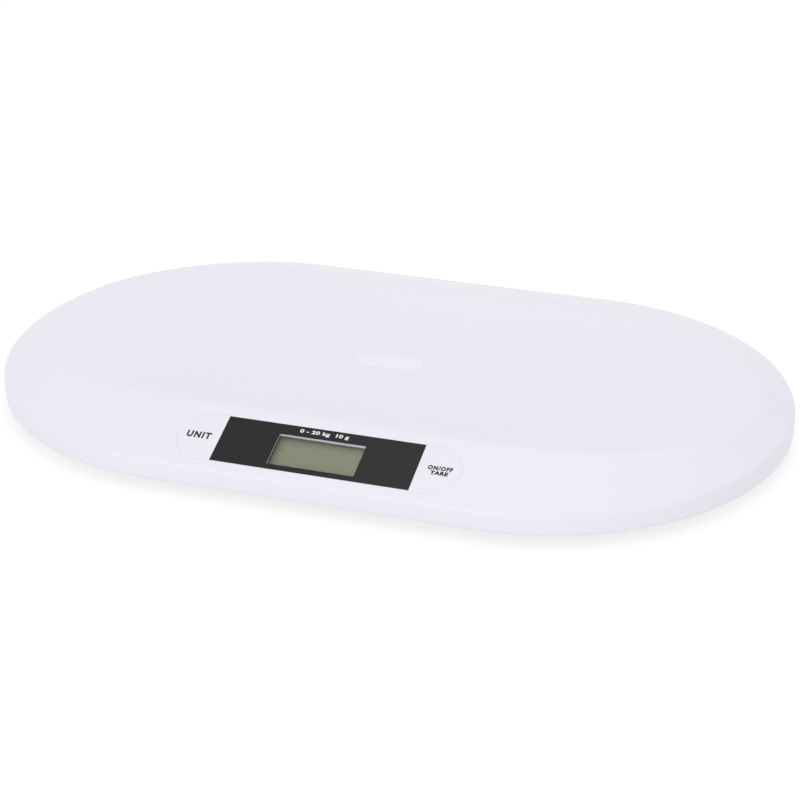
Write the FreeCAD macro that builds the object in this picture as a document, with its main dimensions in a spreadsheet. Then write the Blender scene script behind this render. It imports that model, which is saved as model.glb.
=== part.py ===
"""Digital baby weighing scale, millimetres, +Z up, front towards -Y, standing on Z = 0.

A stadium-shaped tray: an upright skirt, a shelf that rises from the skirt to a ridge, and a shallow bowl
inside the ridge. The ridge is level along the two long sides and dips at the two ends. The front of the
shelf holds a display window between two keys. Inside are the display, the main board, the switches and the
batteries; the scale stands on four feet, each on a load cell.
"""
import FreeCAD, Part
import math
import os
import re

import Sketcher
from FreeCAD import Placement, Rotation, Vector

SIZES = {
    # tray: outline, heights and walls
    "tray_length": 550.0,
    "tray_width": 330.0,
    "skirt_bottom": 8.0,
    "shelf_start": 22.0,
    "shelf_tilt": 20.0,
    "ridge_height": 41.0,
    "flank_inset": 30.0,
    "rear_shelf": 54.5,
    "ridge_land": 1.5,
    "bowl_overrun": 58.0,
    "bowl_depth": 10.5,
    "bowl_flat": 0.3,
    "shell_wall": 2.5,
    "shoulder_radius": 4.0,
    "skirt_edge_radius": 1.2,
    "badge_length": 47.0,
    "badge_width": 20.0,
    "badge_thickness": 0.4,
    # keypad on the front shelf
    "keypad_rise": 27.2,
    "keypad_length": 192.0,
    "keypad_width": 40.0,
    "keypad_backing": 4.0,
    "keypad_backing_margin": 3.0,
    "window_length": 134.6,
    "window_thickness": 1.0,
    "window_gap": 0.15,
    "key_gap": 0.3,
    "key_thickness": 1.2,
    "key_travel": 0.5,
    "key_floor_gap": 0.3,
    "key_stem_x": 80.0,
    "key_stem_size": 6.0,
    "key_hook_reach": 1.0,
    "key_hook_height": 1.1,
    "key_hook_gap": 0.1,
    # display, board and switches, stacked under the shelf
    "view_length": 58.5,
    "view_width": 25.5,
    "view_drop": 2.1,
    "display_depth": 3.2,
    "display_length": 66.0,
    "display_width": 33.0,
    "display_glass": 1.3,
    "display_ledge": 3.5,
    "display_gap": 0.3,
    "frame_length": 72.0,
    "frame_width": 39.0,
    "strip_length": 60.0,
    "strip_thickness": 2.4,
    "board_depth": 9.0,
    "board_length": 176.0,
    "board_width": 40.0,
    "board_thickness": 1.6,
    "board_screw_x": 58.0,
    "board_screw_u": 13.0,
    "board_boss_radius": 3.0,
    "board_screw_radius": 1.0,
    "board_screw_length": 6.5,
    "switch_size": 6.0,
    "switch_height": 3.0,
    "plunger_radius": 1.7,
    "plunger_gap": 0.3,
    "plunger_depth": 1.5,
    "chip_size": 10.0,
    "chip_height": 1.5,
    "chip_x": 20.0,
    "socket_length": 10.0,
    "socket_width": 6.0,
    "socket_height": 5.0,
    "socket_u": 8.0,
    "cell_socket_x": 40.0,
    "power_socket_x": 13.0,
    # bottom cover and what joins it to the tray
    "cover_recess": 0.5,
    "cover_thickness": 2.5,
    "cover_gap": 0.4,
    "rim_inset": 3.0,
    "rim_thickness": 1.6,
    "rim_height": 2.5,
    "rib_thickness": 1.8,
    "rib_height": 3.0,
    "rib_field_length": 200.0,
    "rib_field_front": 25.0,
    "rib_rear_inset": 35.0,
    "rib_pitch": 40.0,
    "tower_radius": 4.0,
    "side_tower_inset": 30.0,
    "side_tower_from_end": 140.0,
    "end_tower_inset": 39.0,
    "front_tower_inset": 60.0,
    "rear_tower_inset": 25.0,
    "cover_screw_radius": 1.4,
    "cover_screw_length": 12.0,
    "cover_screw_head_radius": 2.8,
    "cover_screw_head_height": 1.4,
    "screw_gap": 0.1,
    "head_gap": 0.4,
    # feet and load cells
    "foot_from_end": 100.0,
    "foot_from_side": 67.0,
    "foot_travel": 0.4,
    "pad_radius": 13.0,
    "pad_thickness": 3.3,
    "pad_seat": 0.8,
    "pad_gap": 0.3,
    "cup_radius": 15.0,
    "cup_thickness": 4.0,
    "cup_neck_radius": 6.0,
    "spigot_radius": 1.9,
    "spigot_head_radius": 3.2,
    "spigot_head_height": 0.8,
    "cell_size": 34.0,
    "cell_thickness": 2.0,
    "cell_bottom": 11.5,
    "cell_hole_radius": 2.2,
    "cell_border": 4.0,
    "cell_slot": 2.0,
    "tongue_width": 14.0,
    "well_length": 46.0,
    "well_width": 38.0,
    "well_wall": 2.0,
    "well_clearance": 0.3,
    "clamp_gap": 0.3,
    "clamp_thickness": 2.5,
    "clamp_hole_radius": 10.0,
    "clamp_screw_x": 20.0,
    "clamp_boss_radius": 2.5,
    "clamp_screw_radius": 1.0,
    "clamp_screw_length": 5.2,
    "small_head_radius": 2.2,
    "small_head_height": 1.4,
    "drive_slot_width": 0.6,
    "drive_slot_depth": 0.7,
    # battery bay and door
    "bay_y": -40.0,
    "battery_radius": 5.25,
    "battery_length": 44.5,
    "battery_pitch": 11.0,
    "battery_gap": 0.3,
    "nub_radius": 1.9,
    "nub_length": 0.8,
    "bay_length": 51.0,
    "bay_width": 34.0,
    "bay_wall": 2.0,
    "flange_height": 4.0,
    "flange_wall": 2.0,
    "contact_size": 8.0,
    "contact_thickness": 0.5,
    "spring_radius": 3.0,
    "spring_wire_radius": 0.35,
    "spring_turns": 4.0,
    "door_length": 55.4,
    "door_width": 43.4,
    "door_thickness": 2.0,
    "door_gap": 0.3,
    "hinge_radius": 1.3,
    "hinge_pin_radius": 0.8,
    "hinge_pin_length": 1.5,
    "latch_length": 12.0,
    "latch_thickness": 1.2,
    "latch_height": 3.4,
    "latch_hook": 0.6,
    "latch_room": 2.0,
    "grip_depth": 0.6,
    "grip_width": 1.2,
    "grip_pitch": 3.0,
    # internal leads
    "lead_radius": 1.0,
    "lead_height": 1.6,
    "lead_hole_gap": 0.4,
    "lead_side": 2.2,
    "lead_entry": 10.0,
    "lead_straight": 30.0,
    "bend_share": 0.45,
}
# where the leads from the load cells bend on the cover, for the right half; the left half mirrors them
FRONT_LEAD_BENDS = ((52.0, -108.0), (80.0, -92.0))
REAR_LEAD_BENDS = ((44.0, -98.0), (72.0, -52.0), (120.0, 0.0))
BOWL_STEPS = 3  # rings of the bowl above its flat floor
DOOR_GRIPS = 3  # grooves for the fingers

WORD = re.compile(r"[a-z][a-z_]*")
SPARE = "1"  # how far a cutter runs past the face that it opens

doc = FreeCAD.newDocument("baby_scale")
sheet = doc.addObject("Spreadsheet::Sheet", "sizes")
for row, (alias, value) in enumerate(SIZES.items(), start=1):
    sheet.set(f"A{row}", alias)
    sheet.set(f"B{row}", str(value))
    sheet.setAlias(f"B{row}", alias)
doc.recompute()

# ---------------------------------------------------------------- formulas in the names of the sheet
OUTLINE_STRAIGHT = "(tray_length - tray_width) / 2"
RIDGE_FRONT = "(-tray_width / 2 + (ridge_height - shelf_start) / tan(shelf_tilt))"
RIDGE_REAR = "(tray_width / 2 - rear_shelf)"
RIDGE_CENTRE = f"(({RIDGE_REAR} + {RIDGE_FRONT}) / 2)"
RIDGE_HALF = f"(({RIDGE_REAR} - {RIDGE_FRONT}) / 2)"
FLANK_REACH = "(tray_length / 2 - flank_inset)"
BOWL_REACH = "(tray_length / 2 + bowl_overrun)"
KEYPAD_Y = "(-tray_width / 2 + keypad_rise * cos(shelf_tilt))"
KEYPAD_Z = "(shelf_start + keypad_rise * sin(shelf_tilt))"
BOWL_FLOOR = "(ridge_height - bowl_depth)"
COVER_BOTTOM = "(skirt_bottom + cover_recess)"
COVER_TOP = f"({COVER_BOTTOM} + cover_thickness)"
FLANGE_TOP = f"({COVER_BOTTOM} + flange_height)"
RIB_REAR = "(tray_width / 2 - rib_rear_inset)"
FOOT_X = "(tray_length / 2 - foot_from_end)"
FOOT_Y = "(tray_width / 2 - foot_from_side)"
CELL_TOP = "(cell_bottom + cell_thickness)"
WELL_HEADROOM = "(spigot_head_height + foot_travel + well_clearance)"
WELL_CEILING = f"({CELL_TOP} + {WELL_HEADROOM})"
DOOR_TOP = f"({COVER_BOTTOM} + door_thickness)"
BATTERY_Z = f"({DOOR_TOP} + battery_gap + battery_radius)"
BAY_CEILING = f"({BATTERY_Z} + battery_radius + battery_gap)"
DOOR_RECESS_WIDTH = "(door_width + 2 * door_gap)"
DOOR_RECESS_LENGTH = "(door_length + 2 * door_gap)"
HINGE_Y = "(bay_y + door_width / 2 - hinge_radius)"
HINGE_Z = f"({COVER_BOTTOM} + hinge_radius)"
CUP_BOTTOM = "(pad_thickness - pad_seat)"
CLAMP_BOTTOM = "(cell_bottom - clamp_thickness)"
STEM_BOTTOM = "(-keypad_backing - key_hook_gap - key_hook_height)"
SWITCH_TOP = "(-board_depth + switch_height)"


def bind(thing, prop, formula):
    """Ties one property to a formula written in the names of the sheet."""
    tied = WORD.sub(lambda word: "sizes." + word[0] if word[0] in SIZES else word[0], str(formula))
    thing.setExpression(prop, tied)


def place(thing, x, y, z, on_shelf=False):
    """Puts a thing at x, y, z, or at x, up the slope y and out of the slope z in the keypad's own frame."""
    if not on_shelf:
        for axis, formula in zip("xyz", (x, y, z)):
            bind(thing, f"Placement.Base.{axis}", formula)
        return thing
    thing.Placement = Placement(Vector(), Rotation(Vector(1, 0, 0), 1))
    bind(thing, "Placement.Rotation.Angle", "shelf_tilt")
    bind(thing, "Placement.Base.x", x)
    bind(thing, "Placement.Base.y", f"{KEYPAD_Y} + ({y}) * cos(shelf_tilt) - ({z}) * sin(shelf_tilt)")
    bind(thing, "Placement.Base.z", f"{KEYPAD_Z} + ({y}) * sin(shelf_tilt) + ({z}) * cos(shelf_tilt)")
    return thing


def box(name, length, width, height, x="0", y="0", z="0", on_shelf=False):
    """A block centred on x and y, with its underside at z."""
    block = doc.addObject("Part::Box", name)
    bind(block, "Length", length)
    bind(block, "Width", width)
    bind(block, "Height", height)
    return place(block, f"{x} - ({length}) / 2", f"{y} - ({width}) / 2", z, on_shelf)


def cylinder(name, radius, height, x="0", y="0", z="0", on_shelf=False):
    """An upright cylinder with its underside at z."""
    post = doc.addObject("Part::Cylinder", name)
    bind(post, "Radius", radius)
    bind(post, "Height", height)
    return place(post, x, y, z, on_shelf)


def rod(name, radius, length, x, y, z):
    """A cylinder along X, from x onwards."""
    bar = doc.addObject("Part::Cylinder", name)
    bar.Placement = Placement(Vector(), Rotation(Vector(0, 1, 0), 90))
    bind(bar, "Radius", radius)
    bind(bar, "Height", length)
    return place(bar, x, y, z)


def join(name, *pieces):
    """One solid from several."""
    whole = doc.addObject("Part::MultiFuse", name)
    whole.Shapes = list(pieces)
    return whole


def cut(name, base, *tools):
    """The base less the tools."""
    result = doc.addObject("Part::Cut", name)
    result.Base = base
    result.Tool = tools[0] if len(tools) == 1 else join(name + "_tools", *tools)
    return result


def overlap(name, one, other):
    """What two solids have in common."""
    common = doc.addObject("Part::Common", name)
    common.Base = one
    common.Tool = other
    return common


def group(name, pieces):
    """Several separate solids in one node."""
    bundle = doc.addObject("Part::Compound", name)
    bundle.Links = list(pieces)
    return bundle


def side_name(name, sign):
    return f"{name}_{'left' if sign < 0 else 'right'}"


# ---------------------------------------------------------------- outlines: two straight sides and two round ends
def origin_plane(body, role):
    return next(plane for plane in body.Origin.OriginFeatures if plane.Role == role)


def new_sketch(body, name, y, z):
    sketch = body.newObject("Sketcher::SketchObject", name)
    sketch.AttachmentSupport = (origin_plane(body, "XY_Plane"), [""])
    sketch.MapMode = "FlatFace"
    bind(sketch, "AttachmentOffset.Base.y", y)
    bind(sketch, "AttachmentOffset.Base.z", z)
    return sketch


def close_outline(sketch, right_end, left_end, straight, half):
    """Draws the right end, the far side, the left end and the near side, joined and centred."""
    far_side = Part.LineSegment(Vector(straight, half, 0), Vector(-straight, half, 0))
    near_side = Part.LineSegment(Vector(-straight, -half, 0), Vector(straight, -half, 0))
    sketch.addGeometry([right_end, far_side, left_end, near_side], False)
    corners = [Sketcher.Constraint("Coincident", side, 2, (side + 1) % 4, 1) for side in range(4)]
    sketch.addConstraint(corners)
    sketch.addConstraint([
        Sketcher.Constraint("Horizontal", 1),
        Sketcher.Constraint("PointOnObject", 0, 3, -1),
        Sketcher.Constraint("Symmetric", 2, 3, 0, 3, -1, 1),
    ])
    tips = [Sketcher.Constraint("Vertical", end, tip, end, 3) for end in (0, 2) for tip in (1, 2)]
    sketch.addConstraint(tips)


def name_size(sketch, constraint, name, formula):
    """Adds a driving size to a sketch and ties it to the sheet."""
    index = sketch.addConstraint(constraint)
    sketch.renameConstraint(index, name)
    bind(sketch, f"Constraints.{name}", formula)


def stadium_sketch(body, name, length, width, y="0", z="0"):
    """A slot outline with half-circle ends."""
    start = 50.0
    sketch = new_sketch(body, name, y, z)
    ends = []
    for sign in (1, -1):
        circle = Part.Circle(Vector(sign * start, 0, 0), Vector(0, 0, 1), start)
        first = -math.pi / 2 if sign > 0 else math.pi / 2
        ends.append(Part.ArcOfCircle(circle, first, first + math.pi))
    close_outline(sketch, ends[0], ends[1], start, start)
    name_size(sketch, Sketcher.Constraint("DistanceX", 2, 3, 0, 3, 2 * start), "straight", f"({length}) - ({width})")
    name_size(sketch, Sketcher.Constraint("DistanceY", 0, 1, 0, 2, 2 * start), "width", width)
    return sketch


def oval_sketch(body, name, straight, reach, half, y="0", z="0"):
    """Like a slot, but each end is half an ellipse that is longer than the slot's half width."""
    start, start_reach = 50.0, 80.0
    sketch = new_sketch(body, name, y, z)
    ends = []
    for sign in (1, -1):
        centre = Vector(sign * start, 0, 0)
        ellipse = Part.Ellipse(centre + Vector(start_reach, 0, 0), centre + Vector(0, start, 0), centre)
        first = -math.pi / 2 if sign > 0 else math.pi / 2
        ends.append(Part.ArcOfEllipse(ellipse, first, first + math.pi))
    close_outline(sketch, ends[0], ends[1], start, start)
    name_size(sketch, Sketcher.Constraint("DistanceX", 2, 3, 0, 3, 2 * start), "straight", f"2 * ({straight})")
    name_size(sketch, Sketcher.Constraint("DistanceY", 0, 1, 0, 2, 2 * start), "width", f"2 * ({half})")
    for end, side in ((0, "right"), (2, "left")):
        long_axis = sketch.GeometryCount
        sketch.exposeInternalGeometry(end)
        sketch.addConstraint(Sketcher.Constraint("Horizontal", long_axis))
        distance = Sketcher.Constraint("Distance", long_axis, 2 * start_reach)
        name_size(sketch, distance, f"{side}_end", f"2 * (({reach}) - ({straight}))")
    return sketch


def new_body(name):
    return doc.addObject("PartDesign::Body", name)


def pad(body, sketch, height):
    feature = body.newObject("PartDesign::Pad", sketch.Name + "_pad")
    feature.Profile = sketch
    bind(feature, "Length", height)
    return feature


def loft(body, sketches, ruled):
    feature = body.newObject("PartDesign::AdditiveLoft", body.Name + "_loft")
    feature.Profile = sketches[0]
    feature.Sections = sketches[1:]
    feature.Ruled = ruled
    return feature


def stadium(name, length, width, height, x="0", y="0", z="0", on_shelf=False):
    """An upright prism on a slot outline, with its underside at z."""
    body = new_body(name)
    pad(body, stadium_sketch(body, name + "_outline", length, width), height)
    return place(body, x, y, z, on_shelf)


def round_edges(body, name, height, radius):
    """Rounds the loop of edges that lies at one height of the body."""
    doc.recompute()
    base = body.Tip
    level = [
        f"Edge{index}"
        for index, edge in enumerate(base.Shape.Edges, start=1)
        if edge.BoundBox.ZLength < 1e-6 and abs(edge.BoundBox.ZMin - height) < 1e-6
    ]
    fillet = body.newObject("PartDesign::Fillet", name)
    fillet.Base = (base, level)
    bind(fillet, "Radius", radius)


# ---------------------------------------------------------------- tray
def tray_form():
    """The tray's outer form, solid: the upright skirt and the ruled flank up to the ridge."""
    body = new_body("tray_form")
    skirt = stadium_sketch(body, "skirt_outline", "tray_length", "tray_width", z="skirt_bottom")
    pad(body, skirt, "shelf_start - skirt_bottom")
    foot_line = stadium_sketch(body, "flank_foot", "tray_length", "tray_width", z="shelf_start")
    top = oval_sketch(body, "flank_top", OUTLINE_STRAIGHT, FLANK_REACH, RIDGE_HALF, RIDGE_CENTRE, "ridge_height")
    loft(body, [foot_line, top], ruled=True)
    round_edges(body, "shoulder", sheet.get("shelf_start"), "shoulder_radius")
    round_edges(body, "skirt_edge", sheet.get("skirt_bottom"), "skirt_edge_radius")
    return body


def inner_form():
    """What the tray's inside would be without its bowl: the outer form, one wall further in."""
    body = new_body("inner_form")
    length, width = "tray_length - 2 * shell_wall", "tray_width - 2 * shell_wall"
    start = "(shelf_start + shell_wall * tan(shelf_tilt) - shell_wall / cos(shelf_tilt))"
    corner = "shell_wall * tan(shelf_tilt / 2)"
    skirt = stadium_sketch(body, "inner_skirt", length, width, z=f"skirt_bottom - {SPARE}")
    pad(body, skirt, f"{start} - skirt_bottom + {SPARE}")
    foot_line = stadium_sketch(body, "inner_foot", length, width, z=start)
    top = oval_sketch(
        body, "inner_top", OUTLINE_STRAIGHT, f"{FLANK_REACH} - {corner}", f"{RIDGE_HALF} - {corner}",
        RIDGE_CENTRE, "ridge_height - shell_wall",
    )
    loft(body, [foot_line, top], ruled=True)
    return body


def bowl_form(name, lowered):
    """The bowl's space: ovals that shrink towards a flat floor, with heights on a parabola.

    The ovals are longer than the tray, so the bowl runs out through the flank at both ends, where the
    ridge dips.
    """
    body = new_body(name)
    rings = []
    for step in range(BOWL_STEPS, -1, -1):
        share = f"(bowl_flat + (1 - bowl_flat) * {step} / {BOWL_STEPS})"
        rings.append(oval_sketch(
            body, f"{name}_ring_{step}", f"{OUTLINE_STRAIGHT} * {share}", f"{BOWL_REACH} * {share}",
            f"({RIDGE_HALF} - ridge_land) * {share}", RIDGE_CENTRE,
            f"{BOWL_FLOOR} + bowl_depth * ({step} / {BOWL_STEPS}) ^ 2",
        ))
    loft(body, rings, ruled=False)
    mouth = oval_sketch(
        body, f"{name}_mouth", OUTLINE_STRAIGHT, BOWL_REACH, f"{RIDGE_HALF} - ridge_land",
        RIDGE_CENTRE, "ridge_height",
    )
    pad(body, mouth, "shell_wall + " + SPARE)
    return place(body, "0", "0", f"-({lowered})")


def tower_places():
    """Where the cover is screwed to the tray."""
    side_x, side_y = "(tray_length / 2 - side_tower_from_end)", "(tray_width / 2 - side_tower_inset)"
    places = [(f"{a} * {side_x}", f"{b} * {side_y}") for a in (-1, 1) for b in (-1, 1)]
    places += [(f"{a} * (tray_length / 2 - end_tower_inset)", "0") for a in (-1, 1)]
    places += [("0", "front_tower_inset - tray_width / 2"), ("0", "tray_width / 2 - rear_tower_inset")]
    return places


def board_screw_places():
    return [(f"{a} * board_screw_x", f"-view_drop + {b} * board_screw_u") for a in (-1, 1) for b in (-1, 1)]


def keypad_half(name, sign, edge, length, width, height, z):
    """The rounded end of a keypad-shaped prism, from x = edge outwards, on the left or on the right."""
    whole = stadium(name + "_whole", length, width, height, z=z, on_shelf=True)
    reach = f"(({length}) / 2 - ({edge}))"
    side = box(
        name + "_side", f"{reach} + {SPARE}", f"{width} + {SPARE}", f"{height} + 2 * {SPARE}",
        x=f"{sign} * (({edge}) + ({reach} + {SPARE}) / 2)", z=f"{z} - {SPARE}", on_shelf=True,
    )
    return overlap(name, whole, side)


def top_shell():
    outer = tray_form()
    bowl = bowl_form("bowl_space", "0")
    under_bowl = bowl_form("under_bowl", "shell_wall")
    backing = stadium(
        "keypad_backing_plate", "keypad_length + 2 * keypad_backing_margin",
        "keypad_width + 2 * keypad_backing_margin", "keypad_backing", z="-keypad_backing", on_shelf=True,
    )
    bosses = [
        cylinder(f"board_boss_{n}", "board_boss_radius", "board_depth", x, u, "-board_depth", on_shelf=True)
        for n, (x, u) in enumerate(board_screw_places())
    ]
    towers = [
        cylinder(f"tower_{n}", "tower_radius", f"ridge_height - {COVER_TOP}", x, y, COVER_TOP)
        for n, (x, y) in enumerate(tower_places())
    ]
    hollow = cut("tray_hollow", inner_form(), under_bowl, backing, *bosses, *towers)
    shell = cut("tray_shell", cut("tray_with_bowl", outer, bowl), hollow)

    openings = [stadium("window_seat", "keypad_length", "keypad_width", f"window_thickness + {SPARE}",
                        z="-window_thickness", on_shelf=True)]
    key_floor = "(key_thickness + key_travel + key_floor_gap)"
    hole = "key_stem_size + 2 * key_gap"
    for sign in (-1, 1):
        openings.append(keypad_half(
            side_name("key_pocket", sign), sign, "window_length / 2", "keypad_length", "keypad_width",
            f"{key_floor} + {SPARE}", f"-{key_floor}",
        ))
        openings.append(box(
            side_name("stem_hole", sign), hole, hole, f"keypad_backing + 2 * {SPARE}",
            x=f"{sign} * key_stem_x", z=f"-keypad_backing - {SPARE}", on_shelf=True,
        ))
    openings.append(box("view_opening", "view_length", "view_width", f"keypad_backing + 2 * {SPARE}",
                        y="-view_drop", z=f"-keypad_backing - {SPARE}", on_shelf=True))
    openings.append(box("display_seat", "display_length + 2 * display_gap", "display_width + 2 * display_gap",
                        f"keypad_backing - display_depth + {SPARE}", y="-view_drop",
                        z=f"-keypad_backing - {SPARE}", on_shelf=True))
    openings += [
        cylinder(f"board_pilot_{n}", "board_screw_radius + screw_gap",
                 f"board_screw_length - board_thickness + 2 * {SPARE}", x, u, f"-board_depth - {SPARE}",
                 on_shelf=True)
        for n, (x, u) in enumerate(board_screw_places())
    ]
    openings += [
        cylinder(f"tower_pilot_{n}", "cover_screw_radius + screw_gap", f"cover_screw_length + {SPARE}",
                 x, y, f"{COVER_TOP} - {SPARE}")
        for n, (x, y) in enumerate(tower_places())
    ]
    return cut("top_shell", shell, *openings)


def badge():
    """A blank pill-shaped plate on the flat middle of the bowl."""
    return stadium("badge", "badge_length", "badge_width", "badge_thickness", z=BOWL_FLOOR)


# ---------------------------------------------------------------- keypad and display
def display_window():
    return box("display_window", "window_length", "keypad_width - 2 * window_gap", "window_thickness",
               z="-window_thickness", on_shelf=True)


def key(name, sign):
    """A D-shaped cap flush with the shelf, with a stem and two hooks that stop it from coming out."""
    cap = keypad_half(
        name + "_cap", sign, "window_length / 2 + key_gap", "keypad_length - 2 * key_gap",
        "keypad_width - 2 * key_gap", "key_thickness", "-key_thickness",
    )
    stem = box(name + "_stem", "key_stem_size", "key_stem_size", f"-key_thickness - {STEM_BOTTOM}",
               x=f"{sign} * key_stem_x", z=STEM_BOTTOM, on_shelf=True)
    hooks = box(name + "_hooks", "key_stem_size + 2 * key_hook_reach", "key_stem_size / 2", "key_hook_height",
                x=f"{sign} * key_stem_x", z=STEM_BOTTOM, on_shelf=True)
    return join(name, cap, stem, hooks)


def display_glass():
    """Two glasses in one solid: the front one is wider, and its bare edges meet the contact strips."""
    front = box("front_glass", "display_length", "display_width", "display_glass", y="-view_drop",
                z="-display_depth - display_glass", on_shelf=True)
    rear = box("rear_glass", "display_length", "display_width - 2 * display_ledge", "display_glass",
               y="-view_drop", z="-display_depth - 2 * display_glass", on_shelf=True)
    return join("display_glass", front, rear)


def display_frame():
    height = "board_depth - keypad_backing"
    outer = box("frame_outer", "frame_length", "frame_width", height, y="-view_drop", z="-board_depth", on_shelf=True)
    inner = box("frame_inner", "display_length + 2 * display_gap", "display_width + 2 * display_gap",
                f"{height} + 2 * {SPARE}", y="-view_drop", z=f"-board_depth - {SPARE}", on_shelf=True)
    return cut("display_frame", outer, inner)


def contact_strips():
    """Rubber strips that carry the display's signals from the board to the front glass."""
    offset = "(display_width / 2 - display_ledge / 2 + display_gap)"
    height = "board_depth - display_depth - display_glass"
    return group("contact_strips", [
        box(f"contact_strip_{n}", "strip_length", "strip_thickness", height,
            y=f"-view_drop + {sign} * {offset}", z="-board_depth", on_shelf=True)
        for n, sign in enumerate((-1, 1))
    ])


def main_board():
    blank = box("board_blank", "board_length", "board_width", "board_thickness", y="-view_drop",
                z="-board_depth - board_thickness", on_shelf=True)
    holes = [
        cylinder(f"board_hole_{n}", "board_screw_radius + 2 * screw_gap", f"board_thickness + 2 * {SPARE}", x, u,
                 f"-board_depth - board_thickness - {SPARE}", on_shelf=True)
        for n, (x, u) in enumerate(board_screw_places())
    ]
    return cut("main_board", blank, *holes)


def screws(name, places, shank_radius, length, head_radius, head_height, seat, on_shelf=False):
    """Pan-head screws that point up, with their heads under the face at height seat."""
    pieces = []
    for n, (x, y) in enumerate(places):
        head = cylinder(f"{name}_head_{n}", head_radius, head_height, x, y, f"{seat} - {head_height}", on_shelf)
        shank = cylinder(f"{name}_shank_{n}", shank_radius, length, x, y, seat, on_shelf)
        slot = box(f"{name}_slot_{n}", f"2 * {head_radius} + 2 * {SPARE}", "drive_slot_width",
                   f"drive_slot_depth + {SPARE}", x, y, f"{seat} - {head_height} - {SPARE}", on_shelf)
        pieces.append(cut(f"{name}_{n}", join(f"{name}_body_{n}", head, shank), slot))
    return group(name, pieces)


def board_underside_box(name, length, width, height, x, u):
    """A component that is soldered under the board."""
    return box(name, length, width, height, x=x, y=u, z=f"-board_depth - board_thickness - ({height})", on_shelf=True)


def lead_sockets():
    width, height = "socket_width", "socket_height"
    places = (("left", "-cell_socket_x"), ("middle", "power_socket_x"), ("right", "cell_socket_x"))
    return group("lead_sockets", [
        board_underside_box(f"lead_socket_{name}", "socket_length", width, height, x, "socket_u")
        for name, x in places
    ])


def tact_switches():
    """The two switch housings, each with a bore for its plunger."""
    housings = []
    for sign in (-1, 1):
        x = f"{sign} * key_stem_x"
        block = box(side_name("switch_block", sign), "switch_size", "switch_size", "switch_height", x=x,
                    z="-board_depth", on_shelf=True)
        bore = cylinder(side_name("switch_bore", sign), "plunger_radius + plunger_gap",
                        f"plunger_depth + key_travel + plunger_gap + {SPARE}", x,
                        "0", f"{SWITCH_TOP} - plunger_depth - key_travel - plunger_gap", on_shelf=True)
        housings.append(cut(side_name("switch_housing", sign), block, bore))
    return group("tact_switches", housings)


def switch_plunger(name, sign):
    """The part of the switch that the key pushes down."""
    return cylinder(name, "plunger_radius", f"{STEM_BOTTOM} - {SWITCH_TOP} + plunger_depth",
                    f"{sign} * key_stem_x", "0", f"{SWITCH_TOP} - plunger_depth", on_shelf=True)


# ---------------------------------------------------------------- feet and load cells
CORNERS = {"front_left": (-1, -1), "front_right": (1, -1), "rear_left": (-1, 1), "rear_right": (1, 1)}


def foot_place(corner):
    along, across = CORNERS[corner]
    return f"{along} * {FOOT_X}", f"{across} * {FOOT_Y}"


def clamp_screw_places():
    return [(f"{foot_place(corner)[0]} + {side} * clamp_screw_x", foot_place(corner)[1])
            for corner in CORNERS for side in (-1, 1)]


def load_cell(corner):
    """A steel plate whose middle tongue bends when the foot pushes on it."""
    x, y = foot_place(corner)
    name = f"load_cell_{corner}"
    plate = box(name + "_plate", "cell_size", "cell_size", "cell_thickness", x, y, "cell_bottom")
    deep, low = f"cell_thickness + 2 * {SPARE}", f"cell_bottom - {SPARE}"
    opening = "(cell_size - 2 * cell_border)"
    run = f"({opening} - cell_border)"
    slots = [
        box(f"{name}_slot_{side}", "cell_slot", run, deep, f"{x} + {side} * (tongue_width + cell_slot) / 2",
            f"{y} - cell_border / 2", low)
        for side in (-1, 1)
    ]
    slots.append(box(name + "_end_slot", "tongue_width + 2 * cell_slot", "cell_slot", deep, x,
                     f"{y} - {opening} / 2 + cell_slot / 2", low))
    hole = cylinder(name + "_hole", "cell_hole_radius", deep, x, y, low)
    return cut(name, plate, hole, *slots)


def load_cell_clamp(corner):
    """The plate that keeps a load cell up in its well when the scale is lifted."""
    x, y = foot_place(corner)
    name = f"load_cell_clamp_{corner}"
    plate = box(name + "_plate", "well_length - 2 * clamp_gap", "well_width - 2 * clamp_gap", "clamp_thickness",
                x, y, CLAMP_BOTTOM)
    deep, low = f"clamp_thickness + 2 * {SPARE}", f"{CLAMP_BOTTOM} - {SPARE}"
    holes = [cylinder(name + "_hole", "clamp_hole_radius", deep, x, y, low)]
    holes += [
        cylinder(f"{name}_screw_hole_{side}", "clamp_screw_radius + 2 * screw_gap", deep,
                 f"{x} + {side} * clamp_screw_x", y, low)
        for side in (-1, 1)
    ]
    return cut(name, plate, *holes)


def foot_cup(corner):
    """A disc with a neck that pushes on the load cell's tongue and is staked over it."""
    x, y = foot_place(corner)
    name = f"foot_cup_{corner}"
    disc_top = f"({CUP_BOTTOM} + cup_thickness)"
    disc = cylinder(name + "_disc", "cup_radius", "cup_thickness", x, y, CUP_BOTTOM)
    neck = cylinder(name + "_neck", "cup_neck_radius", f"cell_bottom - {disc_top}", x, y, disc_top)
    spigot = cylinder(name + "_spigot", "spigot_radius", "cell_thickness", x, y, "cell_bottom")
    head = cylinder(name + "_head", "spigot_head_radius", "spigot_head_height", x, y, CELL_TOP)
    seat = cylinder(name + "_seat", "pad_radius + pad_gap", f"pad_seat + {SPARE}", x, y, f"{CUP_BOTTOM} - {SPARE}")
    return cut(name, join(name + "_solid", disc, neck, spigot, head), seat)


def foot_pad(corner):
    x, y = foot_place(corner)
    return cylinder(f"foot_pad_{corner}", "pad_radius", "pad_thickness", x, y, "0")


# ---------------------------------------------------------------- bottom cover, battery bay and door
def cover_plate(name, inset, height, z):
    return stadium(name, f"tray_length - 2 * ({inset})", f"tray_width - 2 * ({inset})", height, z=z)


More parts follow.
